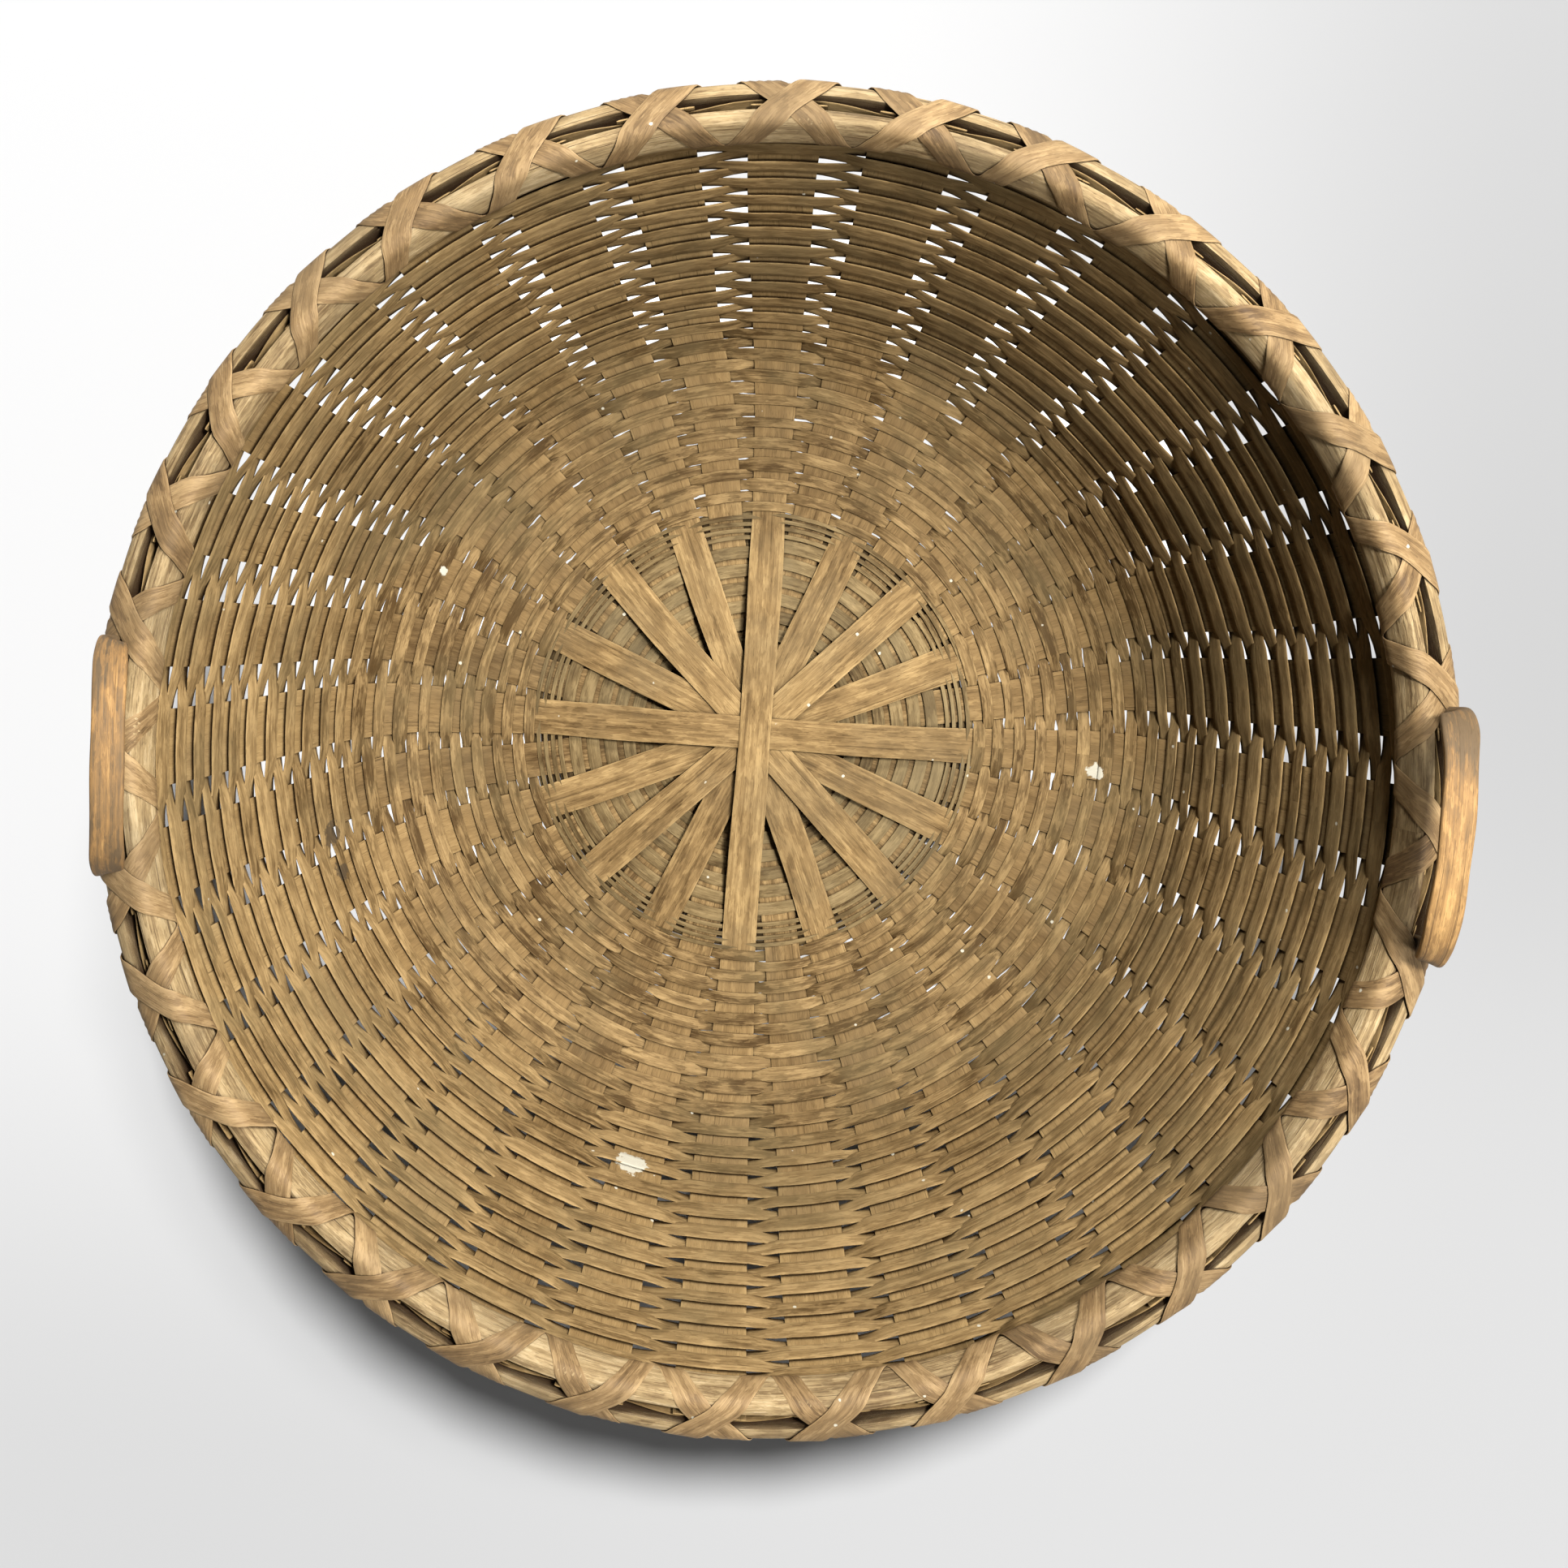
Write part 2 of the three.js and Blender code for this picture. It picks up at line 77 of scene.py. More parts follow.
# radius, height and slope at a length s from the axis: level, then an arc, then straight up;
# a bell-shaped dip lowers the ring that touches the ground
def wallLine(s):
    slope = np.clip((s - wallForm["flatEnd"]) / turnRadius, 0, wallForm["slope"])
    beyond = np.maximum(s - turnEnd, 0)
    r = np.minimum(s, wallForm["flatEnd"]) + turnRadius * np.sin(slope)
    r = r + beyond * math.cos(wallForm["slope"])
    z = wallForm["bottom"] + turnRadius * (1 - np.cos(slope))
    z = z + beyond * math.sin(wallForm["slope"])
    dip = np.exp(-(((s - wallForm["sagAt"]) / wallForm["sagReach"]) ** 2))
    return r, z - wallForm["sag"] * dip, slope


# the point at an angle round the basket, a length s up the wall and a distance n out through it
def onWall(turn, s, n):
    r, z, slope = wallLine(s)
    r = r + n * np.sin(slope)
    z = z - n * np.cos(slope)
    return np.stack(np.broadcast_arrays(r * np.cos(turn), r * np.sin(turn), z), -1)


# from 0 at a start to 1 after a length
def fadeIn(s, start, length):
    return np.clip((s - start) / length, 0, 1)


# even steps round the axis
def ringTurns(count):
    return np.linspace(0, 2 * math.pi, count, endpoint=False)


# length run along a line up to each of its points
def runLength(x, y):
    return np.append(0, np.cumsum(np.hypot(np.diff(x), np.diff(y))))


# a slow waver round a closed ring: sines of whole numbers of waves with chance sizes and phases
def waver(turn, waves, size):
    phases = chance.uniform(0, 2 * math.pi, len(waves))
    sizes = chance.normal(0, 1, len(waves)) / math.sqrt(len(waves))
    return size * np.sum(sizes * np.sin(np.multiply.outer(turn, waves) + phases), -1)


# a smooth line through given stations: a cubic between each two, its slopes from the neighbours
def easeThrough(x, stations, values):
    stations = np.asarray(stations, float)
    values = np.asarray(values, float)
    slopes = np.gradient(values, stations, axis=0)
    i = np.clip(np.searchsorted(stations, x, side="right") - 1, 0, len(stations) - 2)
    gap = stations[i + 1] - stations[i]
    p = (x - stations[i]) / gap
    if values.ndim > 1:
        gap, p = gap[..., None], p[..., None]
    start = (2 * p**3 - 3 * p**2 + 1) * values[i] + (p**3 - 2 * p**2 + p) * gap * slopes[i]
    end = (3 * p**2 - 2 * p**3) * values[i + 1] + (p**3 - p**2) * gap * slopes[i + 1]
    return start + end


# The basket is old and a little out of true
bentForm = {
    "height": 0.18,
    "above": 1.3,  # the changes stop growing at this many heights
    "swells": ((2, 0.0016, -0.4), (3, 0.0011, 1.1)),  # waves round, share of the radius at the rim, phase
    "lifts": ((2, 0.0015, 0.9), (3, 0.0009, -0.7)),  # the same for the height of the rim, in metres
    "uneven": 0.0008,  # humps of the bottom
    "humps": ((29, 1.2), (25, -0.5)),  # radians for each metre and phase, along X and Y
    "turned": math.radians(0.5),  # the rim against the bottom
    "drawn": math.radians(3.6),  # added on one side and taken off on the other
    "drawnSide": math.radians(139),
    "drawnOver": (0.162, 0.28394),  # radii between which it comes in
}


# turns each point about the axis by a cosine of its angle that eases in from the bottom to the rim,
# swells the radius and shifts the height by sines of the angle that grow up the wall, and puts low
# humps, a product of two sines, on the bottom
def settle(points):
    form = bentForm
    x, y, z = points[..., 0], points[..., 1], points[..., 2]
    turn = np.arctan2(y, x)
    start, end = form["drawnOver"]
    share = fadeIn(np.hypot(x, y), start, end - start)
    draw = form["turned"] + form["drawn"] * np.cos(turn - form["drawnSide"])
    draw = draw * share * share * (3 - 2 * share)
    x, y = x * np.cos(draw) - y * np.sin(draw), x * np.sin(draw) + y * np.cos(draw)
    up = np.clip(z / form["height"], 0, form["above"])
    swell = 1 + up * sum(size * np.cos(waves * turn + phase) for waves, size, phase in form["swells"])
    lift = sum(size * np.sin(waves * turn + phase) for waves, size, phase in form["lifts"])
    (rateX, phaseX), (rateY, phaseY) = form["humps"]
    hump = form["uneven"] * np.sin(rateX * x + phaseX) * np.sin(rateY * y + phaseY)
    z = z + up * lift + np.clip(1 - 3 * up, 0, 1) * hump
    return np.stack((x * swell, y * swell, z), -1)


# a mesh from a grid: the first index runs along the piece and the second round its section, which
# is closed; quads join neighbours, an open piece gets a flat end at each side, and the sign of the
# enclosed volume says whether the faces have to be turned round
def gridPiece(name, points, along, across, tone, edge, looks, nodes, loop=False, sharp=40):
    points = settle(points)
    n, k = points.shape[:2]
    i = np.arange(n if loop else n - 1)[:, None]
    j = np.arange(k)[None, :]
    iNext = (i + 1) % n
    jNext = (j + 1) % k
    quads = np.stack((i * k + j, i * k + jNext, iNext * k + jNext, iNext * k + j), -1).reshape(-1, 4)
    u = np.stack(np.broadcast_arrays(along[i], along[i], along[i + 1], along[i + 1] + 0 * j), -1)
    v = np.stack((across[i, j], across[i, j + 1], across[iNext, j + 1], across[iNext, j]), -1)
    flat = points.reshape(-1, 3)
    a, b, c, d = (flat[quads[:, q]] for q in range(4))
    volume = np.sum(a * np.cross(b, c)) + np.sum(a * np.cross(c, d))
    corners, starts = quads.ravel(), np.arange(len(quads)) * 4
    us, vs = u.ravel(), v.ravel()
    if not loop:
        rim = np.arange(k)
        ends = [rim[::-1], (n - 1) * k + rim]
        corners = np.concatenate([corners, *ends])
        starts = np.concatenate([starts, len(quads) * 4 + np.array([0, k])])
        us = np.concatenate([us, np.full(k, along[0]), np.full(k, along[n - 1])])
        vs = np.concatenate([vs, across[0, :k][::-1], across[n - 1, :k]])
    mesh = bpy.data.meshes.new(name)
    mesh.vertices.add(len(flat))
    mesh.vertices.foreach_set("co", flat.ravel())
    mesh.loops.add(len(corners))
    mesh.loops.foreach_set("vertex_index", corners)
    mesh.polygons.add(len(starts))
    mesh.polygons.foreach_set("loop_start", starts)
    mesh.update(calc_edges=True)
    lay = mesh.uv_layers.new(name="lay")
    lay.data.foreach_set("uv", np.stack((us, vs), -1).ravel())
    for title, values in (("tone", tone[:, None]), ("edge", edge)):
        layer = mesh.attributes.new(title, "FLOAT", "POINT")
        layer.data.foreach_set("value", np.broadcast_to(values, (n, k)).ravel())
    if volume < 0:
        mesh.flip_normals()
    mesh.polygons.foreach_set("use_smooth", np.ones(len(starts), bool))
    mesh.set_sharp_from_angle(angle=math.radians(sharp))
    mesh.materials.append(looks)
    piece = bpy.data.objects.new(name, mesh)
    scene.collection.objects.link(piece)
    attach(piece, "root")
    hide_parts(*nodes)


# a node of a shader tree, by its kind; an input is either a value or the socket that feeds it
def addNode(tree, kind, inputs=None, **settings):
    node = tree.nodes.new("ShaderNode" + kind)
    node.location = (220 * (len(tree.nodes) % 12), -260 * (len(tree.nodes) // 12))
    for key, value in settings.items():
        setattr(node, key, value)
    for key, value in (inputs or {}).items():
        if isinstance(value, bpy.types.NodeSocket):
            tree.links.new(value, node.inputs[key])
        else:
            node.inputs[key].default_value = value
    return node


def math2(tree, operation, a, b=0.0, c=0.0, clamp=False):
    inputs = {0: a, 1: b, 2: c} if operation == "MULTIPLY_ADD" else {0: a, 1: b}
    return addNode(tree, "Math", inputs, operation=operation, use_clamp=clamp).outputs[0]


def times(tree, a, b):
    return math2(tree, "MULTIPLY", a, b)


# a times b plus c
def blend(tree, a, b, c):
    return math2(tree, "MULTIPLY_ADD", a, b, c)


# the vector of an operation, or its number
def vector2(tree, operation, inputs):
    node = addNode(tree, "VectorMath", inputs, operation=operation)
    return node.outputs[1 if operation in ("LENGTH", "DISTANCE") else 0]


def mixColour(tree, share, a, b):
    return addNode(tree, "Mix", {0: share, 6: a, 7: b}, data_type="RGBA").outputs[2]


# noise on a stretched copy of a place: the place is multiplied by a count per metre each way
def stretchedNoise(tree, place, scale, detail, roughness=0.55, shift=(0, 0, 0)):
    moved = vector2(tree, "MULTIPLY_ADD", {0: place, 1: scale, 2: shift})
    inputs = {"Vector": moved, "Scale": 1.0, "Detail": detail, "Roughness": roughness}
    return addNode(tree, "TexNoise", inputs).outputs[0]


def remap(tree, value, low, high, toLow=0.0, toHigh=1.0):
    inputs = {0: value, 1: low, 2: high, 3: toLow, 4: toHigh}
    return addNode(tree, "MapRange", inputs, interpolation_type="SMOOTHSTEP").outputs[0]


# a group of nodes; its inputs and outputs are titles by kind
def newGroup(name, inputs, outputs):
    tree = bpy.data.node_groups.new(name, "ShaderNodeTree")
    for way, kinds in (("INPUT", inputs), ("OUTPUT", outputs)):
        for kind, titles in kinds.items():
            for title in titles:
                tree.interface.new_socket(name=title, in_out=way, socket_type="NodeSocket" + kind)
    return tree, tree.nodes.new("NodeGroupInput").outputs, tree.nodes.new("NodeGroupOutput").inputs


def emptyTree(owner):
    owner.use_nodes = True
    owner.node_tree.nodes.clear()
    return owner.node_tree


def srgb(r, g, b):
    c = np.array([r, g, b]) / 255
    c = np.where(c <= 0.04045, c / 12.92, ((c + 0.055) / 1.055) ** 2.4)
    return (*map(float, c), 1.0)


# Grain of a split or shaved strip: counts for each metre along and across the fibres, detail,
# roughness, shift, and the range of the noise that is spread from 0 to 1
grainLook = {
    "Fibre": ((70, 2200, 0), 4, 0.6, (0, 0, 0), None),
    "Streak": ((18, 640, 0), 3, 0.55, (3.1, 7.3, 1.7), None),
    "Blotch": ((62, 150, 0), 4, 0.62, (1.3, 9.1, 4.2), None),
    "Flake": ((85, 330, 0), 5, 0.6, (6.2, 3.4, 2.6), (0.50, 0.56)),
    "Pore": ((240, 3200, 0), 1, 0.5, (5.7, 2.9, 8.8), (0.62, 0.74)),
    "Split": ((7, 800, 0), 2, 0.5, (8.2, 4.4, 6.1), (0.65, 0.72)),
}


# on the strip's own lay in metres: x along the fibres, y across them
def makeGrain():
    tree, given, result = newGroup("splintGrain", {"Vector": ["Lay"]}, {"Float": grainLook})
    for title, (scale, detail, roughness, shift, spread) in grainLook.items():
        noise = stretchedNoise(tree, given["Lay"], scale, detail, roughness, shift)
        tree.links.new(remap(tree, noise, *spread) if spread else noise, result[title])
    return tree


# Marks: single spots with a ragged edge, each with its place and size, and many small specks
markLook = {
    "paint": (
        ((-0.0487, -0.2171, 0.046), 0.0095),
        ((0.1773, -0.0083, 0.006), 0.0055),
        ((-0.1657, 0.0718, 0.007), 0.003),
    ),
    "stain": (
        ((-0.0227, 0.0446, 0.017), 0.0028),
        ((-0.2098, -0.0635, 0.040), 0.0085),
        ((-0.2040, -0.0820, 0.040), 0.006),
    ),
    "ragged": 1.466667,  # in sizes of the mark
    "raggedScale": (330, 330, 330),
    "soft": (0.85, 0.65),  # the edge, in sizes of the mark
    "speckCells": 60.0,  # for each metre
    "speckEdge": (0.085, 0.065),  # in cells
    "speckWobble": 0.05,
    "speckScale": (900, 900, 900),
    "speckless": 0.55,  # share of the cells without a speck
}


# White specks of old paint, round some points of a scattered lattice, and the single marks: a place
# belongs to a mark when its distance from the middle, changed by noise, is below the mark's size
def makeSpecks():
    look = markLook
    tree, given, result = newGroup("paintSpecks", {"Vector": ["Spot"]}, {"Float": ["Paint", "Stain"]})
    spot = given["Spot"]
    wobble = stretchedNoise(tree, spot, look["speckScale"], 2)
    cells = addNode(tree, "TexVoronoi", {"Vector": spot, "Scale": look["speckCells"]})
    some = addNode(tree, "SeparateColor", {0: cells.outputs["Color"]})
    reach = blend(tree, wobble, look["speckWobble"], cells.outputs["Distance"])
    near = remap(tree, reach, *look["speckEdge"])
    chosen = math2(tree, "GREATER_THAN", some.outputs[0], look["speckless"])
    found = {"paint": times(tree, near, chosen), "stain": 0.0}
    ragged = math2(tree, "SUBTRACT", stretchedNoise(tree, spot, look["raggedScale"], 3), 0.5)
    for kind in found:
        for place, size in look[kind]:
            far = vector2(tree, "DISTANCE", {0: spot, 1: place})
            far = blend(tree, ragged, look["ragged"] * size, far)
            edge = remap(tree, far, *(size * share for share in look["soft"]))
            found[kind] = math2(tree, "MAXIMUM", found[kind], edge)
    tree.links.new(found["paint"], result["Paint"])
    tree.links.new(found["stain"], result["Stain"])
    return tree


agedLook = {
    "mix": {  # middle and weight
        "Streak": (0.5, 1.5), "Fibre": (0.5, 1.0), "Blotch": (0.5, 1.3), "Flake": (0.45, 0.27),
    },
    "tone": 0.2,
    "dusk": (0.22, 0.16, 0.11),  # colour of pores, splits and the painted shade in corners, in shares of the dark colour
    "pore": 0.4,
    "patchScale": (16, 16, 16),
    "patch": (0.42, 0.68),
    "stain": 0.75,
    "stainColour": srgb(82, 70, 56),
    "paintColour": srgb(236, 228, 204),
    "rough": (0.5, 0.25, 0.2),  # at least, with the fibres and with the grime
    "relief": {"Streak": 0.6, "Flake": 0.25, "Pore": -0.5},  # against the fibres
    "reliefCrack": -2.0,
}


# Colour of aged wood: tone, streaks, blotches and flaked patches move it between three colours,
# pores and splits are dark, edges are painted pale for wear and as a painted highlight, grime lies
# over it in patches, and painted shade darkens the corners
def makeAgedWood(grain, specks):
    look = agedLook
    inputs = {
        "Vector": ["Lay", "Spot"],
        "Float": ["Tone", "Edge", "PaintedCornerShade", "Contrast", "Streaky", "EdgeWearAndHighlight", "Grimy", "Cracks"],
        "Color": ["Dark", "Mid", "Light", "Grime"],
    }
    outputs = {"Color": ["Colour"], "Float": ["Roughness", "Height"]}
    tree, given, result = newGroup("agedWood", inputs, outputs)
    g = addNode(tree, "Group", {"Lay": given["Lay"]}, node_tree=grain).outputs
    mixed = 0.0
    for title, (middle, weight) in look["mix"].items():
        part = math2(tree, "SUBTRACT", g[title], middle)
        mixed = blend(tree, part, weight, mixed)
        if title == "Streak":
            mixed = times(tree, mixed, given["Streaky"])
    mixed = times(tree, mixed, given["Contrast"])
    mixed = blend(tree, given["Tone"], look["tone"], mixed)
    # edges are painted paler: partly wear, partly a painted highlight
    mixed = blend(tree, given["Edge"], given["EdgeWearAndHighlight"], mixed)
    low = math2(tree, "MULTIPLY_ADD", mixed, 2.0, 1.0, True)
    high = math2(tree, "MULTIPLY", mixed, 2.0, clamp=True)
    colour = mixColour(tree, low, given["Dark"], given["Mid"])
    colour = mixColour(tree, high, colour, given["Light"])
    dusk = vector2(tree, "MULTIPLY", {0: given["Dark"], 1: look["dusk"]})
    colour = mixColour(tree, times(tree, g["Pore"], look["pore"]), colour, dusk)
    crack = times(tree, g["Split"], given["Cracks"])
    colour = mixColour(tree, crack, colour, dusk)
    patch = stretchedNoise(tree, given["Spot"], look["patchScale"], 4, 0.65)
    patch = times(tree, remap(tree, patch, *look["patch"]), given["Grimy"])
    colour = mixColour(tree, patch, colour, given["Grime"])
    # painted shade: the colour goes towards the dark colour where other pieces are close
    colour = mixColour(tree, given["PaintedCornerShade"], colour, dusk)
    s = addNode(tree, "Group", {"Spot": given["Spot"]}, node_tree=specks).outputs
    colour = mixColour(tree, times(tree, s["Stain"], look["stain"]), colour, look["stainColour"])
    colour = mixColour(tree, s["Paint"], colour, look["paintColour"])
    tree.links.new(colour, result["Colour"])
    least, fibres, grime = look["rough"]
    rough = blend(tree, patch, grime, blend(tree, g["Fibre"], fibres, least))
    tree.links.new(rough, result["Roughness"])
    height = g["Fibre"]
    for title, weight in look["relief"].items():
        height = blend(tree, g[title], weight, height)
    tree.links.new(blend(tree, crack, look["reliefCrack"], height), result["Height"])
    return tree


agedWood = makeAgedWood(makeGrain(), makeSpecks())
woodLook = {
    "samples": 6,
    "open": (0.74, 0.20),  # openness where the painted corner shade starts and where it is full
    "bounce": 0.15,  # share of the light from other splints that is kept
    "calmFrom": (0.105, 0.135),  # where some splints turn plainer, from the axis outwards
    "own": {  # a wood has these, where it says nothing else
        # how much paler the edges are painted: wear and a painted highlight
        "EdgeWearAndHighlight": 0.12,
        "bump": 0.5,
        "relief": 0.0003,
        "gloss": 0.1,
        # strength of the painted shade in corners
        "paintedShade": 1.0,
        "reach": 0.006,  # how far off a neighbour the painted shade darkens a corner
    },
}


# wood of a piece: painted shade darkens it where other pieces are close, and the light that one
# splint throws on another is taken down, for the deep shade of the old wood
def woodMaterial(name, own):
    look = {**woodLook["own"], **own}
    material = bpy.data.materials.new(name)
    tree = emptyTree(material)
    spot = addNode(tree, "TexCoord").outputs["Object"]
    near = addNode(tree, "AmbientOcclusion", {"Distance": look["reach"]}, samples=woodLook["samples"])
    inputs = {
        "Lay": addNode(tree, "UVMap", uv_map="lay").outputs[0],
        "Spot": spot,
        "Tone": addNode(tree, "Attribute", attribute_name="tone").outputs["Fac"],
        "Edge": addNode(tree, "Attribute", attribute_name="edge").outputs["Fac"],
        # painted shade in corners, from the ambient occlusion of nearby pieces
        "PaintedCornerShade": remap(tree, near.outputs["AO"], *woodLook["open"], 0.0, look["paintedShade"]),
    }
    for title in ("Dark", "Mid", "Light", "Grime"):
        inputs[title] = srgb(*look[title])
    for title in ("Contrast", "Streaky", "EdgeWearAndHighlight", "Grimy", "Cracks"):
        inputs[title] = look[title]
    if "calm" in look:
        far = vector2(tree, "LENGTH", {0: vector2(tree, "MULTIPLY", {0: spot, 1: (1, 1, 0)})})
        for title in ("Streaky", "Contrast", "EdgeWearAndHighlight"):
            inputs[title] = remap(tree, far, *woodLook["calmFrom"], look[title], look[title] * look["calm"])
    wood = addNode(tree, "Group", inputs, node_tree=agedWood)
    relief = {"Strength": look["bump"], "Distance": look["relief"], "Height": wood.outputs["Height"]}
    bump = addNode(tree, "Bump", relief)
    bounced = addNode(tree, "LightPath").outputs["Is Diffuse Ray"]
    kept = blend(tree, bounced, woodLook["bounce"] - 1.0, 1.0)
    shader = addNode(
        tree,
        "BsdfPrincipled",
        {
            "Base Color": vector2(tree, "SCALE", {0: wood.outputs["Colour"], "Scale": kept}),
            "Roughness": wood.outputs["Roughness"],
            "Normal": bump.outputs[0],
            "Specular IOR Level": look["gloss"],
        },
    )
    addNode(tree, "OutputMaterial", {0: shader.outputs[0]})
    return material


# each wood below also sets how strong its painted corner shade is and how pale its edges are painted
weaverWood = woodMaterial("weaverSplint", {
    "Dark": (94, 71, 41), "Mid": (166, 135, 89), "Light": (207, 172, 118), "Grime": (134, 116, 80),
    "Contrast": 0.95, "Streaky": 0.6, "Grimy": 0.45, "Cracks": 0.35,
})
uprightWood = woodMaterial("uprightSplint", {
    "Dark": (98, 74, 43), "Mid": (167, 135, 88), "Light": (215, 179, 122), "Grime": (130, 112, 82),
    "Contrast": 0.75, "Streaky": 0.85, "EdgeWearAndHighlight": 0.25, "Grimy": 0.35, "Cracks": 0.45,
    "bump": 0.55, "paintedShade": 0.95, "calm": 0.5,
})
narrowWood = woodMaterial("narrowSplint", {
    "Dark": (88, 67, 40), "Mid": (150, 126, 85), "Light": (190, 162, 114), "Grime": (138, 122, 90),
    "Contrast": 0.8, "Streaky": 0.6, "Grimy": 0.55, "Cracks": 0.3,
})
hoopWood = woodMaterial("hoopWood", {
    "Dark": (122, 96, 62), "Mid": (196, 166, 118), "Light": (232, 204, 156), "Grime": (142, 124, 94),
    "Contrast": 0.9, "Streaky": 1.0, "Grimy": 0.45, "Cracks": 0.6,
    "bump": 0.7, "relief": 0.0005, "gloss": 0.3, "reach": 0.02,
})
lashingWood = woodMaterial("lashingSplint", {
    "Dark": (94, 70, 43), "Mid": (163, 131, 88), "Light": (208, 173, 123), "Grime": (134, 112, 80),
    "Contrast": 0.95, "Streaky": 0.5, "EdgeWearAndHighlight": 0.2, "Grimy": 0.5, "Cracks": 0.3,
    "gloss": 0.35, "paintedShade": 0.8,
})
handleWood = woodMaterial("handleWood", {
    "Dark": (112, 92, 66), "Mid": (182, 138, 84), "Light": (244, 192, 122), "Grime": (146, 118, 82),
    "Contrast": 0.8, "Streaky": 1.0, "Grimy": 0.3, "Cracks": 0.5,
    "bump": 0.45, "gloss": 0.4, "paintedShade": 0.7,
})
print("materials made")

# section of a thin strip with eased edges: place across it and side of it, each from -1 to 1
stripAcross = np.array([-0.93, -0.5, 0, 0.5, 0.93, 1, 1, 0.93, 0.5, 0, -0.5, -0.93, -1, -1])
stripSide = np.array([1, 1, 1, 1, 1, 0.4, -0.4, -1, -1, -1, -1, -1, -0.4, 0.4])
stripEdge = np.clip((np.abs(stripAcross) - 0.85) / 0.15, 0, 1)
closed = np.append(np.arange(len(stripAcross)), 0)

# Splints of the two wheels; each has two arms that go up the wall as uprights
splintLook = {
    "thick": 0.0008,
    "places": [0.0, 0.1138, 0.165, 0.21, 0.26, 0.386],
    "half": [0.0080, 0.0089, 0.0115, 0.0137, 0.0154, 0.0175],
    "spread": 0.05,  # how much the widths of the uprights differ
    "stations": 200,
    "layer": 0.00092,  # each splint lies this much higher at the hub than the one below it
    "lower": (0.028, 0.045),  # a wheel is level at the hub to the first radius and has come down at the second
    "upper": (0.040, 0.115),
    "top": 0.0096,  # the uprights end this far above the middle of the hoops
    "ragged": 0.0020,  # the ends differ by this
    "sway": 0.0006,
    "swayFrom": (0.02, 0.05),  # start and length over which it comes in
    "scaleFrom": (0.09, 0.05),  # the same for the widths that differ
    "waver": 0.00025,
    "shades": (0.35, 0.2, 0.25),  # how the splints, their two arms and places along them differ
    "toneAt": [0.09, 0.13, 0.21, 0.28],
    "tone": [-0.4, -0.9, -0.7, 0.2],
    "tipTone": 0.8,
    "tipLength": 0.006,
}
uprightScale = 1 + chance.normal(0, splintLook["spread"], wallForm["uprights"])
lowerOrder = [0, 2, 4, 6, 7, 5, 3, 1]  # place of each splint in the stack at the hub
upperOrder = [14, 8, 12, 9, 15, 10, 13, 11]


# half the width of an upright, drawn straight between its places
def uprightHalf(s):
    return np.interp(s, splintLook["places"], splintLook["half"])


# a strip along a line through the hub: x is the radius of the wall line with the arm's sign, y the
# place across; at the hub it is lifted to its level in the stack, and on the slope it hugs the round
def makeSplint(name, angle, arms, lift, node):
    look = splintLook
    ends = wallForm["rimMiddle"] + look["top"] - np.abs(chance.normal(0, look["ragged"], 2))
    a = np.linspace(-ends[1], ends[0], look["stations"])
    s = np.abs(a)
    scale = np.where(a > 0, uprightScale[arms[0]], uprightScale[arms[1]])
    scale = 1 + (scale - 1) * fadeIn(s, *look["scaleFrom"])
    half = uprightHalf(s) * scale + waver(a * 20, [1, 2, 3, 5], look["waver"])
    sway = waver(a * 16, [1, 2, 3], look["sway"]) * fadeIn(s, *look["swayFrom"])
    r, z, slope = wallLine(s)
    y = stripAcross * half[:, None] + sway[:, None]
    hug = -(y**2) * np.sin(slope)[:, None] / (2 * np.maximum(r, 0.1)[:, None])
    n = hug - stripSide * look["thick"] / 2
    x = np.sign(a)[:, None] * (r[:, None] + n * np.sin(slope)[:, None])
    up = (z + lift(s))[:, None] - n * np.cos(slope)[:, None]
    c, d = math.cos(angle), math.sin(angle)
    points = np.stack((x * c - y * d, x * d + y * c, up), -1)
    each, arm, place = look["shades"]
    tone = chance.normal(0, each) + np.where(a > 0, 1, -1) * chance.normal(0, arm)
    tone = tone + waver(a * 12, [1, 2, 3, 4], place) + np.interp(s, look["toneAt"], look["tone"])
    tone = tone + look["tipTone"] * fadeIn(s, wallForm["openTop"], look["tipLength"])
    along = a + chance.uniform(0, 50)
    across = (stripAcross * half[:, None])[:, closed] + chance.uniform(0, 5)
    gridPiece(name, points, along, across, tone, stripEdge, uprightWood, [node])


# how far a splint is lifted at a radius: the lower wheel comes down along a half cosine, the upper
# one along a straight line with an eased share
def lowerLift(level):
    hold, down = splintLook["lower"]
    return lambda s: level * 0.5 * (1 + np.cos(np.pi * fadeIn(s, hold, down - hold)))


def upperLift(level):
    hold, down = splintLook["upper"]

    def lift(s):
        w = fadeIn(s, hold, down - hold)
        return level * (1 - 0.7 * w - 0.3 * w * w * (3 - 2 * w))

    return lift


for wheel, first, lift, order in (("lower", 1, lowerLift, lowerOrder), ("upper", 0, upperLift, upperOrder)):
    for k in range(8):
        arms = (first + 2 * k, first + 2 * k + 16)
        node = f"base_splint_{wheel}_{k + 1}"
        makeSplint(f"{wheel}Splint_{k + 1}", step * arms[0], arms, lift(splintLook["layer"] * order[k]), node)
print("splints made")

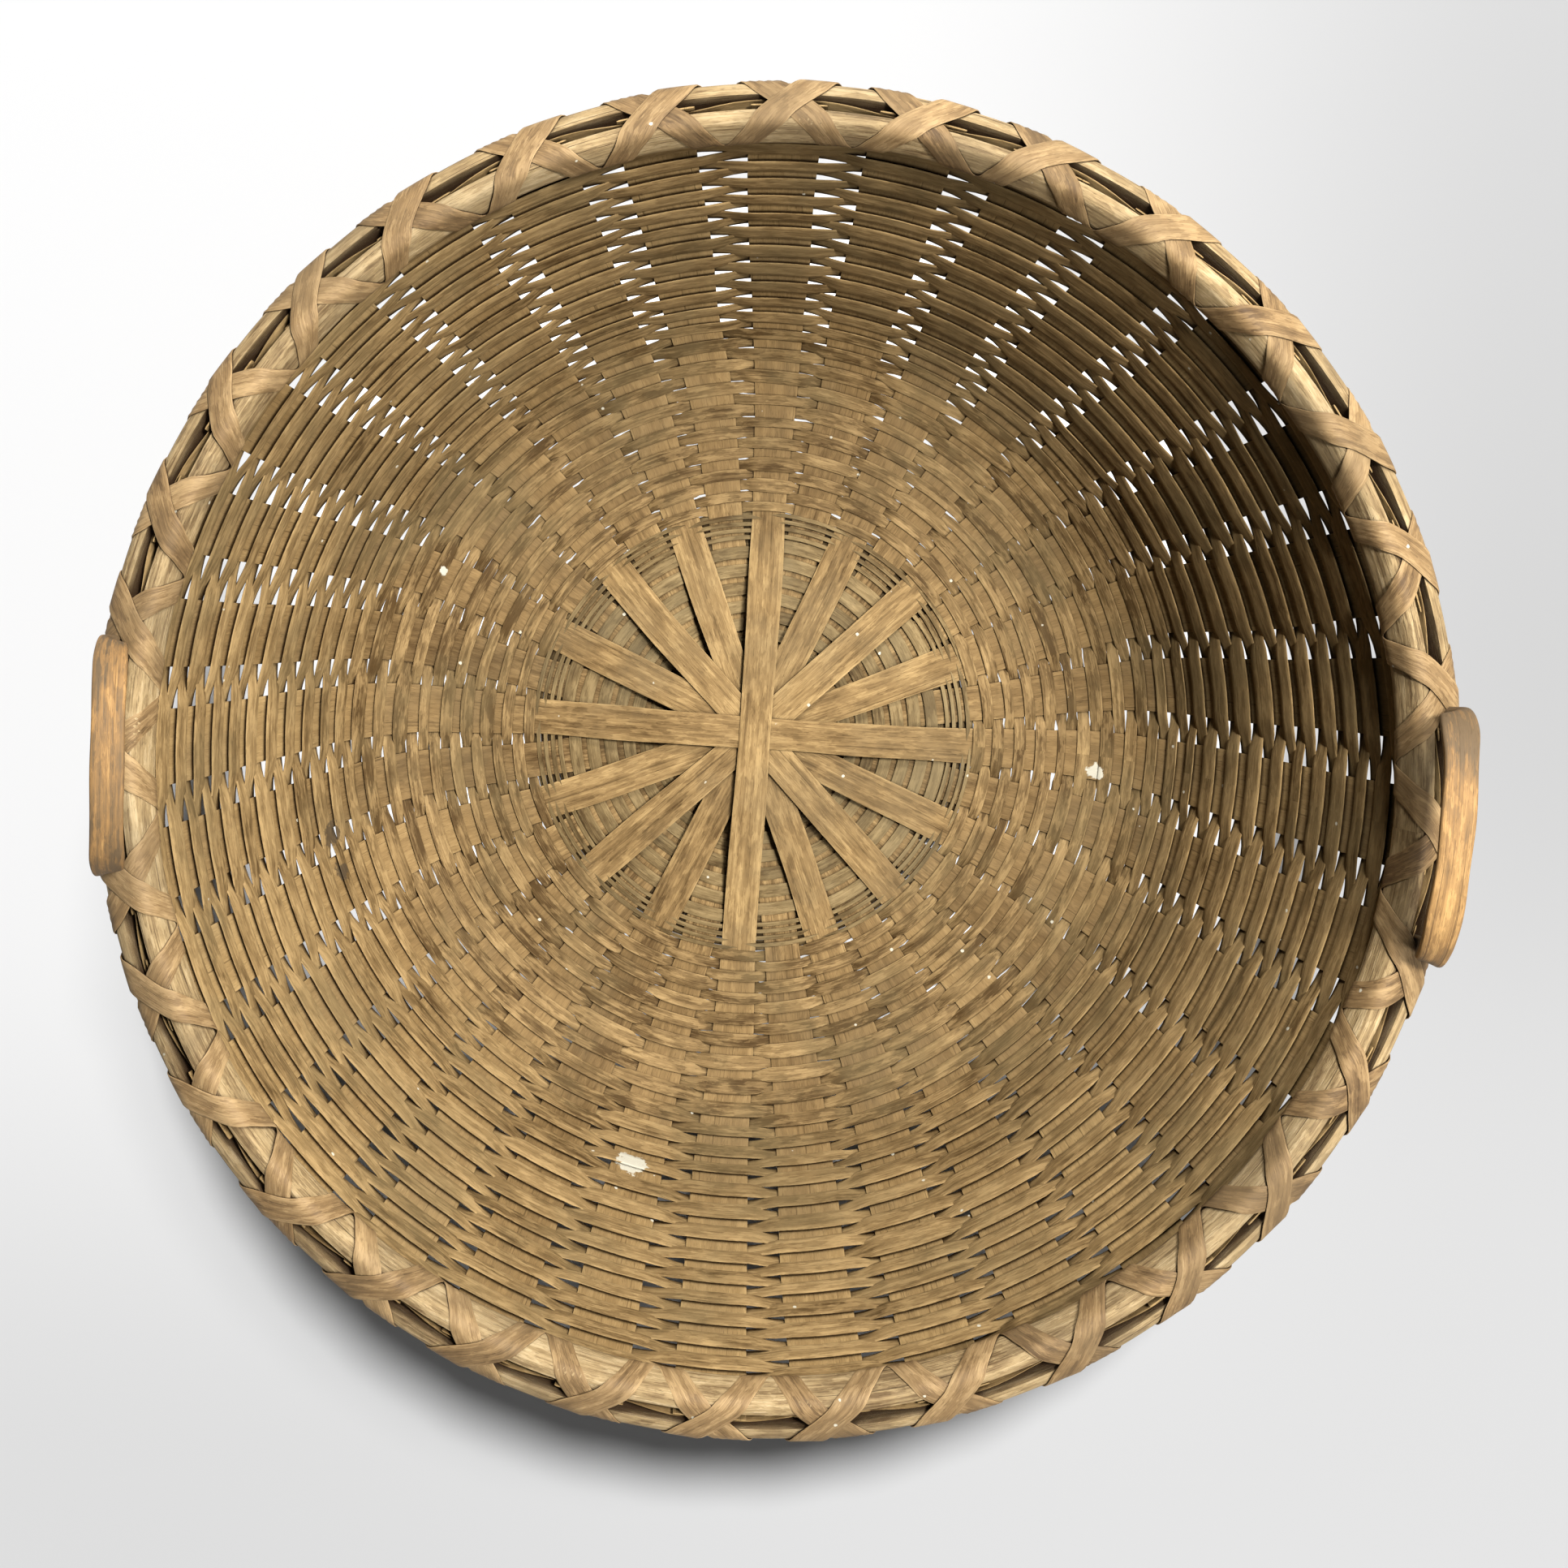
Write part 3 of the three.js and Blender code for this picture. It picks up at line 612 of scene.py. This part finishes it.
# Weavers: rows round the bottom, the turn and the wall
weaverLook = {
    "thick": 0.0007,
    # rows, from, to
    "stretches": ((9, 0.1138, 0.1626), (12, 0.1626, 0.2346), (8, 0.2346, 0.2986), (11, 0.2986, 0.3728)),
    "stations": 384,
    "hold": 0.85,  # share of an upright that a row lies flat on
    "places": [0.1138, 0.165, 0.21, 0.26, 0.372],  # where the next values hold
    "inward": [0.00120, 0.00120, 0.0013, 0.0015, 0.0016],
    "outward": [0.00125, 0.00125, 0.0013, 0.0013, 0.0013],
    "tilt": [0.0, -0.0001, -0.0002, -0.0004, -0.0005],  # upper edges lie inside
    "gap": [0.96, 0.97, 1.02, 1.10, 1.15],  # width in pitches, between uprights
    "cover": [1.06, 1.10, 1.18, 1.32, 1.36],  # inside an upright
    "behind": [1.04, 1.05, 1.08, 1.12, 1.14],  # outside one
    "drift": 0.0010,  # all rows waver together
    "own": 0.00035,
    "coverChance": 0.10,  # how the widths differ from upright to upright, and slowly round
    "coverWaver": 0.08,
    "offWaver": 0.06,
    "offShift": 0.0001,
    "lengths": (2, 0.4),  # lengths of splint in a row, and how their tones differ
    "shade": [-0.9, -0.9, -0.6, 0.1, 0.3],  # the bottom is darker than the wall
}
cadRows = ((5, 0.117, 0.162), (8, 0.162, 0.2346), (16, 0.2346, 0.3722))


def rowEdges(stretches):
    edges = [np.linspace(low, high, count + 1)[:-1] for count, low, high in stretches]
    return np.concatenate([*edges, [stretches[-1][2]]])


# from 0 half way between two uprights to 1 on the part of an upright that a row lies flat on
def weaveNear(place, half, hold):
    near = np.abs(place - np.round(place))
    return np.clip((0.5 - near) / (0.5 - hold * half), 0, 1)


# how far a row stands off the line of the uprights: most at the middle of each, nothing half way to
# the next, then to the other side; a positive swing passes inside, where the row bows further
def weaveOff(place, half, over, hold, inward, outward):
    side = np.where((np.round(place).astype(int) + over) % 2 == 0, 1.0, -1.0)
    swing = np.sin(np.pi / 2 * weaveNear(place, half, hold)) * side
    return -(0.5 * (inward + outward) * swing + 0.5 * (inward - outward) * swing**2)


# share of its full width that a row has: it narrows only close to the middle of a gap, as a cube
def weaveFull(place, half, hold):
    return 1 - (1 - weaveNear(place, half, hold)) ** 3


# tone of a ring made of a few lengths of splint: a chance value for each length, with a slow waver
def ringTone(turn, lengths, spread):
    cuts = np.sort(chance.uniform(0, 2 * math.pi, lengths))
    values = chance.normal(0, spread, lengths + 1)
    values[-1] = values[0]
    return values[np.searchsorted(cuts, turn)] + waver(turn, [2, 3, 5, 9, 14], 0.35)


# a strip round the basket: its middle up the wall, half width and stand-off are given at each angle
def ringStrip(name, turn, centre, half, off, tilt, thick, radius, tones, looks, nodes):
    s = centre[:, None] + half[:, None] * stripAcross
    n = off[:, None] + tilt * stripAcross - stripSide * thick / 2
    points = onWall(turn[:, None], s, n)
    along = np.append(turn, 2 * math.pi) * radius + chance.uniform(0, 50)
    across = (half[:, None] * stripAcross)[:, closed] + chance.uniform(0, 5)
    lengths, spread, shade = tones
    tone = ringTone(turn, lengths, spread) + shade
    gridPiece(name, points, along, across, tone, stripEdge, looks, nodes, loop=True)


# a row: its circle wavers up and down the wall and swings in and out through it
def makeRow(name, row, low, high, drift, nodes):
    look = weaverLook
    turn = ringTurns(look["stations"])
    middle = 0.5 * (low + high)
    inward, outward, tilt, gap, cover, behind, shade = (
        float(np.interp(middle, look["places"], look[key]))
        for key in ("inward", "outward", "tilt", "gap", "cover", "behind", "shade")
    )
    hold = look["hold"]
    centre = middle + drift + waver(turn, [3, 5, 8, 13], look["own"])
    place = turn / step
    which = np.round(place).astype(int) % wallForm["uprights"]
    radius = wallLine(middle)[0]
    half = uprightHalf(middle) * uprightScale[which] / (radius * step)
    off = weaveOff(place, half, row, hold, inward, outward)
    each = 1 + chance.normal(0, look["coverChance"], wallForm["uprights"])
    spread = np.where(off < 0, cover, behind) * each[which] + waver(turn, [2, 3, 5], look["coverWaver"])
    width = (high - low) * (gap + (spread - gap) * weaveFull(place, half, hold))
    off = off * (1 + waver(turn, [7, 11, 16], look["offWaver"]))
    off = off + waver(turn, [5, 9, 15], look["offShift"])
    tones = (*look["lengths"], shade)
    ringStrip(name, turn, centre, 0.5 * width, off, tilt, look["thick"], radius, tones, weaverWood, nodes)


rows = rowEdges(weaverLook["stretches"])
cadEdges = rowEdges(cadRows)
sharedDrift = waver(ringTurns(weaverLook["stations"]), [2, 3, 4, 6, 9], weaverLook["drift"])
for row in range(len(rows) - 1):
    low, high = rows[row], rows[row + 1]
    ease = math.sin(math.pi * (0.5 * (low + high) - rows[0]) / (rows[-1] - rows[0]))
    met = np.nonzero((cadEdges[:-1] < high) & (cadEdges[1:] > low))[0]
    nodes = [f"wall_weaver_{m + 1:02d}" for m in met]
    makeRow(f"weaver_{row + 1:02d}", row, low, high, sharedDrift * ease, nodes)
print("rows:", len(rows) - 1)

# Narrow weavers inside the arm circle, through the lower wheel alone
narrowLook = {
    "stretches": ((12, 0.0445, 0.0994), (8, 0.0994, 0.1138)),
    "swing": 0.00105,
    "hold": 0.95,
    "gap": 0.76,
    "cover": (1.38, 1.22),
    "coverChance": 0.03,
    "coverWaver": 0.03,
    "own": 0.0003,
    "tilt": 0.00045,
    "tones": (2, 0.5, -0.2),
    "stations": 288,
}


# a row of the lower wheel: a flat ring that swings over one lower arm and under the next
def makeNarrow(name, row, low, high, node):
    look = narrowLook
    turn = ringTurns(look["stations"])
    middle = 0.5 * (low + high)
    place = (turn - step) / (2 * step)
    half = uprightHalf(middle) / (middle * 2 * step)
    hold, gap, swing = look["hold"], look["gap"], look["swing"]
    off = weaveOff(place, half, row, hold, swing, swing)
    cover = look["cover"][0 if middle < look["stretches"][1][1] else 1]
    spread = cover * (1 + chance.normal(0, look["coverChance"]))
    spread = spread + waver(turn, [2, 3, 5], look["coverWaver"])
    width = (high - low) * (gap + (spread - gap) * weaveFull(place, half, hold))
    centre = middle + waver(turn, [2, 3, 5, 8], look["own"])
    tilt, tones, thick = look["tilt"], look["tones"], weaverLook["thick"]
    ringStrip(name, turn, centre, 0.5 * width, off, tilt, thick, middle, tones, narrowWood, [node])


narrowEdges = rowEdges(narrowLook["stretches"])
for row in range(len(narrowEdges) - 1):
    node = f"base_weaver_{min(row // 3, 4) + 1}"
    makeNarrow(f"narrowWeaver_{row + 1:02d}", row, narrowEdges[row], narrowEdges[row + 1], node)
print("narrow rows:", len(narrowEdges) - 1)

# The rim: two shaved hoops with the uprights and a top weaver between them
rimLook = {
    "half": 0.0092,  # half the height of a hoop
    "power": 3.6,  # squareness of the rounded side
    "inner": (-0.0034, 0.0066),  # face from the line of the uprights, and thickness
    "outer": (0.0047, 0.0084),
    "stations": 512,
    "radius": 0.285,  # of the rim, for lengths round it
    "thickWaver": 0.06,
    "heightWaver": 0.04,
    "shiftWaver": 0.0005,
    "lengths": (1, 0.3),  # lengths of wood in a hoop, and how their tones differ
    "weaverThick": 0.0008,
    "weaverHalf": 0.0080,
    "weaverLow": 0.0012,  # middle of the top weaver below that of the hoops
    "weaverWaver": 0.05,
    "weaverHold": 0.6,
    "weaverOff": 0.0013,
    "weaverSwing": (0.0022, 0.0016),  # inward and outward
    "weaverTones": (2, 0.4, 0.0),
}


# the rounded side of a hoop: a superellipse, from its lower edge round to its upper edge; the side
# out of the face is positive
def hoopSide(angle, thick, half):
    power = 2 / rimLook["power"]
    out = thick * np.abs(np.cos(angle)) ** power
    up = half * np.sign(np.sin(angle)) * np.abs(np.sin(angle)) ** power
    return out, up


def makeHoop(name, face, thick, outwards, node):
    turn = ringTurns(rimLook["stations"])
    angle = np.linspace(-math.pi / 2, math.pi / 2, 19)
    out, up = hoopSide(angle, 1.0, 1.0)
    thickness = thick * (1 + waver(turn, [2, 3, 5, 8, 13, 21], rimLook["thickWaver"]))
    height = rimLook["half"] * (1 + waver(turn, [2, 3, 5, 9, 17], rimLook["heightWaver"]))
    shift = waver(turn, [2, 3, 4, 7], rimLook["shiftWaver"])
    n = face + shift[:, None] + outwards * out[None, :] * thickness[:, None]
    s = wallForm["rimMiddle"] + up[None, :] * height[:, None]
    points = onWall(turn[:, None], s, n)
    girth = runLength(out * thick, up * rimLook["half"])
    girth = np.append(girth, girth[-1] + 2 * rimLook["half"])
    across = np.broadcast_to(girth[None, :] + chance.uniform(0, 5), (len(turn), len(girth)))
    along = np.append(turn, 2 * math.pi) * rimLook["radius"] + chance.uniform(0, 50)
    tone = ringTone(turn, *rimLook["lengths"])
    gridPiece(name, points, along, across, tone, 0.0, hoopWood, [node], loop=True, sharp=50)


makeHoop("innerHoop", *rimLook["inner"], -1, "inner_hoop")
makeHoop("outerHoop", *rimLook["outer"], 1, "outer_hoop")


# the top weaver: a strip between the hoops that swings like a row
def makeTopWeaver():
    look = rimLook
    turn = ringTurns(weaverLook["stations"])
    place = turn / step
    half = look["weaverHalf"] * (1 + waver(turn, [3, 5, 9, 14], look["weaverWaver"]))
    radius = look["radius"]
    upright = splintLook["half"][-1] / (radius * step)
    off = look["weaverOff"] + weaveOff(place, upright, 1, look["weaverHold"], *look["weaverSwing"])
    centre = np.full(len(turn), wallForm["rimMiddle"] - look["weaverLow"])
    thick, tones = look["weaverThick"], look["weaverTones"]
    ringStrip("topWeaver", turn, centre, half, off, 0.0, thick, radius, tones, weaverWood, ["rim_weaver"])


makeTopWeaver()
print("rim made")

# Lashing: two strands wound round both hoops, that cross above each upright
lashingLook = {
    "half": 0.0060,
    "thick": 0.0007,
    "lay": 0.0006,  # middle of a strand off the wood
    "over": 0.0010,  # extra where one passes over the other
    "stations": 44,  # for each turn
    "turns": [0.0, 0.10, 0.19, 0.30, 0.50, 0.70, 0.81, 0.90, 1.0],  # share of the way to the next gap
    "foot": 0.10,  # share of the girth where the strand leaves the underside
    "crowns": (-0.0085, 0.0116),  # where it turns over the two hoops, from the line of the uprights
    "crownUp": 0.004,  # on the part of them above this height
    "aside": 0.10,  # crossings stand aside from the legs of the handles
    "jitter": 0.035,
    "radius": 0.287,
    "waver": 0.07,
    "crossing": (0.2, 0.06),  # length of the extra at the crossings above and below, in gaps
    "lengths": (14, 0.45),
}


# outline of both hoops together: up the inside, over the top, down the outside, back below; gives
# the place and the outward direction at each length round it
def rimOutline():
    angle = np.linspace(-math.pi / 2, math.pi / 2, 49)
    (faceIn, thickIn), (faceOut, thickOut), half = rimLook["inner"], rimLook["outer"], rimLook["half"]
    outIn, upIn = hoopSide(angle, thickIn, half)
    outOut, upOut = hoopSide(angle[::-1], thickOut, half)
    middle = 0.5 * (faceIn + faceOut)
    n = np.concatenate([[middle], faceIn - outIn, faceOut + outOut, [middle]])
    t = np.concatenate([[-half], upIn, upOut, [-half]])
    length = runLength(n, t)
    even = np.linspace(0, length[-1], 241)
    n, t = np.interp(even, length, n), np.interp(even, length, t)
    dn, dt = np.gradient(n, even), np.gradient(t, even)
    size = np.hypot(dn, dt)
    return even, n, t, -dt / size, dn / size


outline = rimOutline()


def onRim(turn, length, off):
    even, n, t, outN, outT = outline
    length = np.mod(length, even[-1])
    far = np.interp(length, even, n) + off * np.interp(length, even, outN)
    up = np.interp(length, even, t) + off * np.interp(length, even, outT)
    return onWall(turn, wallForm["rimMiddle"] + up, far)


# a strand: its middle line goes round the outline while it moves on from gap to gap by the given
# shares; its width lies square to that line on the outline's skin
def makeLashing(name, direction, over, node):
    look = lashingLook
    count = wallForm["uprights"]
    even, n, up = outline[:3]
    whole = even[-1]
    low = 10 * (up < look["crownUp"])
    inner, outer = (even[np.argmin(np.abs(n - crown) + low)] for crown in look["crowns"])
    foot = look["foot"] * whole
    marks = [0, foot, 0.5 * (foot + inner), inner, 0.5 * (inner + outer), outer]
    marks = [*marks, 0.5 * (outer + whole - foot), whole - foot, whole]
    share = np.linspace(0, 1, look["stations"], endpoint=False)
    length = np.tile(share * whole, count)
    turns = np.tile(easeThrough(share * whole, marks, look["turns"]), count)
    wrap = np.repeat(np.arange(count), len(share))
    upright = wrap if direction > 0 else -wrap
    jitter = chance.normal(0, look["jitter"], count)
    bell = np.sin(np.pi * np.tile(share, count)) ** 2
    near = (upright + 8) % 16 - 8
    aside = np.where(np.abs(near) == 1, look["aside"] * np.sign(near), 0.0)
    turn = (upright + direction * (turns - 0.5) + bell * (jitter[wrap] + aside)) * step
    radius = look["radius"]
    closing = direction * 2 * math.pi
    before = np.append(turn[-1] - closing, turn[:-1])
    after = np.append(turn[1:], turn[0] + closing)
    round_ = (after - before) * radius
    onward = 2 * whole / len(share)
    size = np.hypot(round_, onward)
    p, q = round_ / size, onward / size
    wide = waver(wrap + np.tile(share, count), [0.2, 0.5, 1.1, 2.3], look["waver"])
    half = look["half"] * (1 + wide)
    above, below = look["crossing"]
    cross = np.exp(-(((turns - 0.5) / above) ** 2)) + np.exp(-((np.minimum(turns, 1 - turns) / below) ** 2))
    off = look["lay"] + over * look["over"] * cross
    v = stripAcross * half[:, None]
    width = turn[:, None] - q[:, None] * v / radius
    place = length[:, None] + p[:, None] * v
    points = onRim(width, place, off[:, None] + stripSide * look["thick"] / 2)
    along = np.append(0, np.cumsum(size / 2)) + chance.uniform(0, 50)
    across = v[:, closed] + chance.uniform(0, 5)
    tone = ringTone(ringTurns(len(turn)), *look["lengths"])
    gridPiece(name, points, along, across, tone, stripEdge, lashingWood, [node], loop=True)


makeLashing("lashingUnder", 1, 0.0, "rim_lashing_under")
makeLashing("lashingOver", -1, 1.0, "rim_lashing_over")
print("lashing made")

# Ear handles: a bent band whose legs are thinned and go down between the hoops
handleLook = {
    "inset": 0.0085,  # the legs stand this much nearer to the handle's middle than the next uprights
    "seat": 0.0026,  # middle of a leg outside the line of the uprights
    "footUp": 0.0126,  # top of a leg above the middle of the hoops
    "halfSpan": 0.0515,
    "rise": 0.0345,  # from the foot of the loop to its middle line at the top
    "square": 0.8,  # below 1, the shoulders are squarer than a half ellipse
    "lean": math.radians(-10),
    "bandHalf": 0.0071,
    "bandThick": 0.0023,
    "legs": [-0.062, -0.046, -0.030, -0.009, 0.002],  # from the tip up, against the middle of the hoops
    "closer": [0.0012, 0.0012, 0.0012, 0.0006, 0, 0],  # to the uprights, than the seat
    "legWide": [0.0022, 0.0043, 0.0045, 0.0045, 0.0046, 0.0052, 0.0066, 0.0072],
    "legThin": [0.0005, 0.0006, 0.0007, 0.0013, 0.0016, 0.0020, 0.0022, 0.0023],
    "legTwist": [0, 0, 0, 0, 0.05, 0.35, 0.85, 1],  # from flat along the rim to flat across it
    "loopFrom": 15,  # degrees
    "loopStations": 11,
    "loopFoot": 0.0023,
    "squareSection": 0.45,
    "waver": (0.03, 0.04, 0.25),  # of the width, the thickness and the tone
    "stations": 180,
}
# tone along each handle at shares of its length: grey ends and a paler middle, partly weathering; the right handle's
# bright middle is partly painted light, the left handle's darker tone partly painted shade
rightShade = ([0, 0.30, 0.37, 0.43, 0.50, 0.62, 0.68, 0.72, 1], [-2.6, -2.6, -2.0, -0.4, 0.6, 0.7, -0.6, -2.2, -2.6])
leftShade = ([0, 0.28, 0.4, 0.5, 0.62, 0.72, 1], [-2.5, -2.2, -1.1, -0.8, -1.1, -2.1, -2.5])


# the band: a middle line from the tip of one tongue over the loop to the other tip; the loop's
# height is a power of the sine of an angle and its reach the cosine; the section is squarish, a
# superellipse, whose two half sizes change along the line
def makeHandle(name, side, node, shade):
    look = handleLook
    legs = np.array([*look["legs"], look["footUp"]])
    r, z, slope = wallLine(wallForm["rimMiddle"] + legs)
    seat = look["seat"] - np.array(look["closer"])
    r = r + seat * np.sin(slope)
    legPath = np.stack((
        r * math.cos(step) + look["inset"] * math.sin(step),
        r * math.sin(step) - look["inset"] * math.cos(step),
        z - seat * np.cos(slope),
    ), -1)
    foot = legPath[-1]
    turn = np.radians(np.linspace(look["loopFrom"], 180 - look["loopFrom"], look["loopStations"]))
    up = look["loopFoot"] + look["rise"] * np.sin(turn) ** look["square"]
    lean = math.tan(look["lean"])
    loop = np.stack((foot[0] + up * lean, look["halfSpan"] * np.cos(turn), foot[2] + up), -1)
    path = np.concatenate([legPath, loop, legPath[::-1] * (1, -1, 1)])
    marks = np.append(0, np.cumsum(np.linalg.norm(np.diff(path, axis=0), axis=1)))
    even = np.linspace(0, marks[-1], look["stations"])
    middle = easeThrough(even, marks, path)
    ahead = np.gradient(middle, axis=0)
    ahead /= np.linalg.norm(ahead, axis=1)[:, None]

    # a value along the band: the leg's own, the band's over the loop, and the leg's again
    def bandValue(leg, band):
        between = [band] * (len(marks) - 2 * len(leg))
        return easeThrough(even, marks, [*leg, *between, *leg[::-1]])

    wide = bandValue(look["legWide"], look["bandHalf"])
    thin = bandValue(look["legThin"], look["bandThick"])
    part = np.clip(bandValue(look["legTwist"], 1), 0, 1)[:, None]
    # on the legs the wide way lies along the rim; on the loop it lies across, out from the axis
    out = np.array([math.cos(look["lean"]), 0.0, -math.sin(look["lean"])])
    sign = np.where(even < marks[-1] / 2, 1.0, -1.0)[:, None]
    first = (1 - part) * np.array([0.0, 1.0, 0.0]) * sign + part * out
    first -= ahead * np.sum(first * ahead, axis=1)[:, None]
    first /= np.linalg.norm(first, axis=1)[:, None]
    second = np.cross(ahead, first)
    wideWaver, thinWaver, toneWaver = look["waver"]
    a = wide * (1 + waver(even * 30, [1, 2, 3, 5], wideWaver))
    b = thin * (1 + waver(even * 30, [1, 2, 3, 5], thinWaver))
    angle = ringTurns(28)
    power = look["squareSection"]
    c = np.sign(np.cos(angle)) * np.abs(np.cos(angle)) ** power
    d = np.sign(np.sin(angle)) * np.abs(np.sin(angle)) ** power
    points = middle[:, None, :] + first[:, None, :] * (a[:, None] * c[None, :])[..., None]
    points = points + second[:, None, :] * (b[:, None] * d[None, :])[..., None]
    points[..., :2] *= side
    girth = runLength(np.append(c, c[0]) * look["bandHalf"], np.append(d, d[0]) * look["bandThick"])
    across = np.broadcast_to(girth[None, :] + chance.uniform(0, 5), (len(even), len(girth)))
    # the tone holds painted light and shade along with the wood's own weathering
    tone = easeThrough(even / marks[-1], *shade) + waver(even * 25, [1, 2, 3, 5], toneWaver)
    along = even + chance.uniform(0, 50)
    gridPiece(name, points, along, across, tone, 0.0, handleWood, [node], sharp=60)


makeHandle("earHandleRight", 1, "ear_handle_right", rightShade)
makeHandle("earHandleLeft", -1, "ear_handle_left", leftShade)
print("handles made")

# Floor, lamps and world
stageLook = {
    "floor": 3.0,
    "white": 0.86,
    "brighter": 0.15,  # painted light: the floor is this much brighter for each metre towards the far side
    "dims": (  # painted shade: share taken off, and the ranges along X and Y over which it grows
        (0.30, (0.0, 0.42), (-0.45, 0.1)),
        (0.06, (0.25, -0.30), (0.0, -0.40)),  # towards the lower left of the picture
        (0.11, None, (-0.1, -0.4)),
    ),
    "glow": 0.95,  # painted light: the floor below the basket glows for the camera, bright through the weave in the basket's shade
    "glowEnd": (0.29, 0.25),  # distance from the axis
    "glowStart": (0.105, 0.12),
    "glowNear": (-0.2, -0.08),  # not on the near side, where the basket's shadow is
    "glowFacing": (0.30, 0.14),  # and only for an eye high above
    "fill": 0.006,
    "lampFar": 2.0,
    "lampAim": (0, 0, 0.08),
    "lamps": (  # name, turn and height in degrees, size, level
        ("keyLamp", 38, 69, 0.36, 1.0),
        ("nearLamp", -34, 46, 0.36, 0.28),
        ("farLamp", 80, 44, 0.40, 0.58),
    ),
    "suns": (  # the same, with the angle across as the size
        ("floorSun", 87, 62.8, 0.15, 0.98),
        ("sideSun", 70, 60, 0.14, 0.16),
        ("topSun", 0, 88, 0.30, 0.08),
    ),
}


# painted shade: the floor's colour falls off smoothly towards the right, the lower left and the near
# side; painted light: a ring of it below the basket glows for an eye that looks down through the weave
def makeFloor():
    half = stageLook["floor"]
    mesh = bpy.data.meshes.new("floor")
    mesh.from_pydata([(-half, -half, 0), (half, -half, 0), (half, half, 0), (-half, half, 0)], [], [(0, 1, 2, 3)])
    material = bpy.data.materials.new("paleFloor")
    tree = emptyTree(material)
    spot = addNode(tree, "TexCoord").outputs["Object"]
    x, y, _ = addNode(tree, "SeparateXYZ", {0: spot}).outputs
    # painted light and shade across the floor's colour
    level = blend(tree, y, stageLook["brighter"], 1.0)
    for size, alongX, alongY in stageLook["dims"]:
        dim = remap(tree, y, *alongY, 0, size)
        if alongX:
            dim = times(tree, dim, remap(tree, x, *alongX))
        level = math2(tree, "SUBTRACT", level, dim)
    level = times(tree, level, stageLook["white"])
    tint = addNode(tree, "CombineColor", {0: level, 1: level, 2: level})
    shader = addNode(tree, "BsdfPrincipled", {"Base Color": tint.outputs[0], "Roughness": 0.9})
    far = vector2(tree, "LENGTH", {0: spot})
    facing = addNode(tree, "LayerWeight", {"Blend": 0.5}).outputs["Facing"]
    # painted light: emission that only the camera sees brightens the floor below the basket
    glow = addNode(tree, "LightPath").outputs["Is Camera Ray"]
    for value, ends in ((far, "glowEnd"), (far, "glowStart"), (y, "glowNear"), (facing, "glowFacing")):
        glow = times(tree, glow, remap(tree, value, *stageLook[ends]))
    shine = addNode(tree, "Emission", {1: times(tree, glow, stageLook["glow"])})
    both = addNode(tree, "AddShader", {0: shader.outputs[0], 1: shine.outputs[0]})
    addNode(tree, "OutputMaterial", {0: both.outputs[0]})
    mesh.materials.append(material)
    floor = bpy.data.objects.new("floor", mesh)
    scene.collection.objects.link(floor)
    return floor


# a round lamp or a sun; its power makes a white sheet that faces it as bright as level
def makeLight(kind, name, turn, height, size, level, receivers):
    far = stageLook["lampFar"]
    data = bpy.data.lights.new(name, kind)
    if kind == "AREA":
        data.shape = "DISK"
        data.size = size
        data.energy = level * math.pi**2 * far**2
    else:
        data.angle = size
        data.energy = level * math.pi
    light = bpy.data.objects.new(name, data)
    scene.collection.objects.link(light)
    turn, height = math.radians(turn), math.radians(height)
    way = Vector((math.cos(turn) * math.cos(height), math.sin(turn) * math.cos(height), math.sin(height)))
    light.location = Vector(stageLook["lampAim"]) + way * far
    light.rotation_euler = way.to_track_quat("Z", "Y").to_euler()
    light.light_linking.receiver_collection = receivers


floor = makeFloor()
basketSet = bpy.data.collections.new("basketSet")
floorSet = bpy.data.collections.new("floorSet")
for thing in scene.objects:
    if thing.type == "MESH" and thing is not floor:
        basketSet.objects.link(thing)
floorSet.objects.link(floor)
for lamp in stageLook["lamps"]:
    makeLight("AREA", *lamp, basketSet)
for sun in stageLook["suns"]:
    makeLight("SUN", *sun, floorSet)

world = bpy.data.worlds.new("studio")
scene.world = world
sky = emptyTree(world)
skyPath = addNode(sky, "LightPath").outputs
skySeen = math2(sky, "MAXIMUM", skyPath["Is Camera Ray"], skyPath["Is Transmission Ray"])
skySeen = math2(sky, "MAXIMUM", skySeen, skyPath["Is Glossy Ray"])
skyLevel = blend(sky, skySeen, 1.0 - stageLook["fill"], stageLook["fill"])
skyLight = addNode(sky, "Background", {0: (1.0, 1.0, 1.0, 1.0), 1: skyLevel})
addNode(sky, "OutputWorld", {0: skyLight.outputs[0]})

# Camera: straight above, up and left of the middle as the picture lies; the picture is the lower
# right part of what it sees
cameraLook = {
    "turn": math.radians(4),  # the handles' axis falls to the right by this much
    "foot": (-0.064, 0.085),  # to the right and up in the picture
    "height": 1.137,
    "lens": 50.2,
    "sensor": 36.0,
    "shift": (0.0983, -0.1384),
}


def makeCamera():
    right = Vector((math.cos(cameraLook["turn"]), math.sin(cameraLook["turn"]), 0))
    up = Vector((-right.y, right.x, 0))
    place = cameraLook["foot"][0] * right + cameraLook["foot"][1] * up
    place.z = cameraLook["height"]
    data = bpy.data.cameras.new("camera")
    data.lens = cameraLook["lens"]
    data.sensor_width = cameraLook["sensor"]
    data.shift_x, data.shift_y = cameraLook["shift"]
    data.clip_start = 0.01
    camera = bpy.data.objects.new("camera", data)
    camera.location = place
    camera.rotation_euler = (0, 0, cameraLook["turn"])
    scene.collection.objects.link(camera)
    scene.camera = camera


makeCamera()
print("stage made")
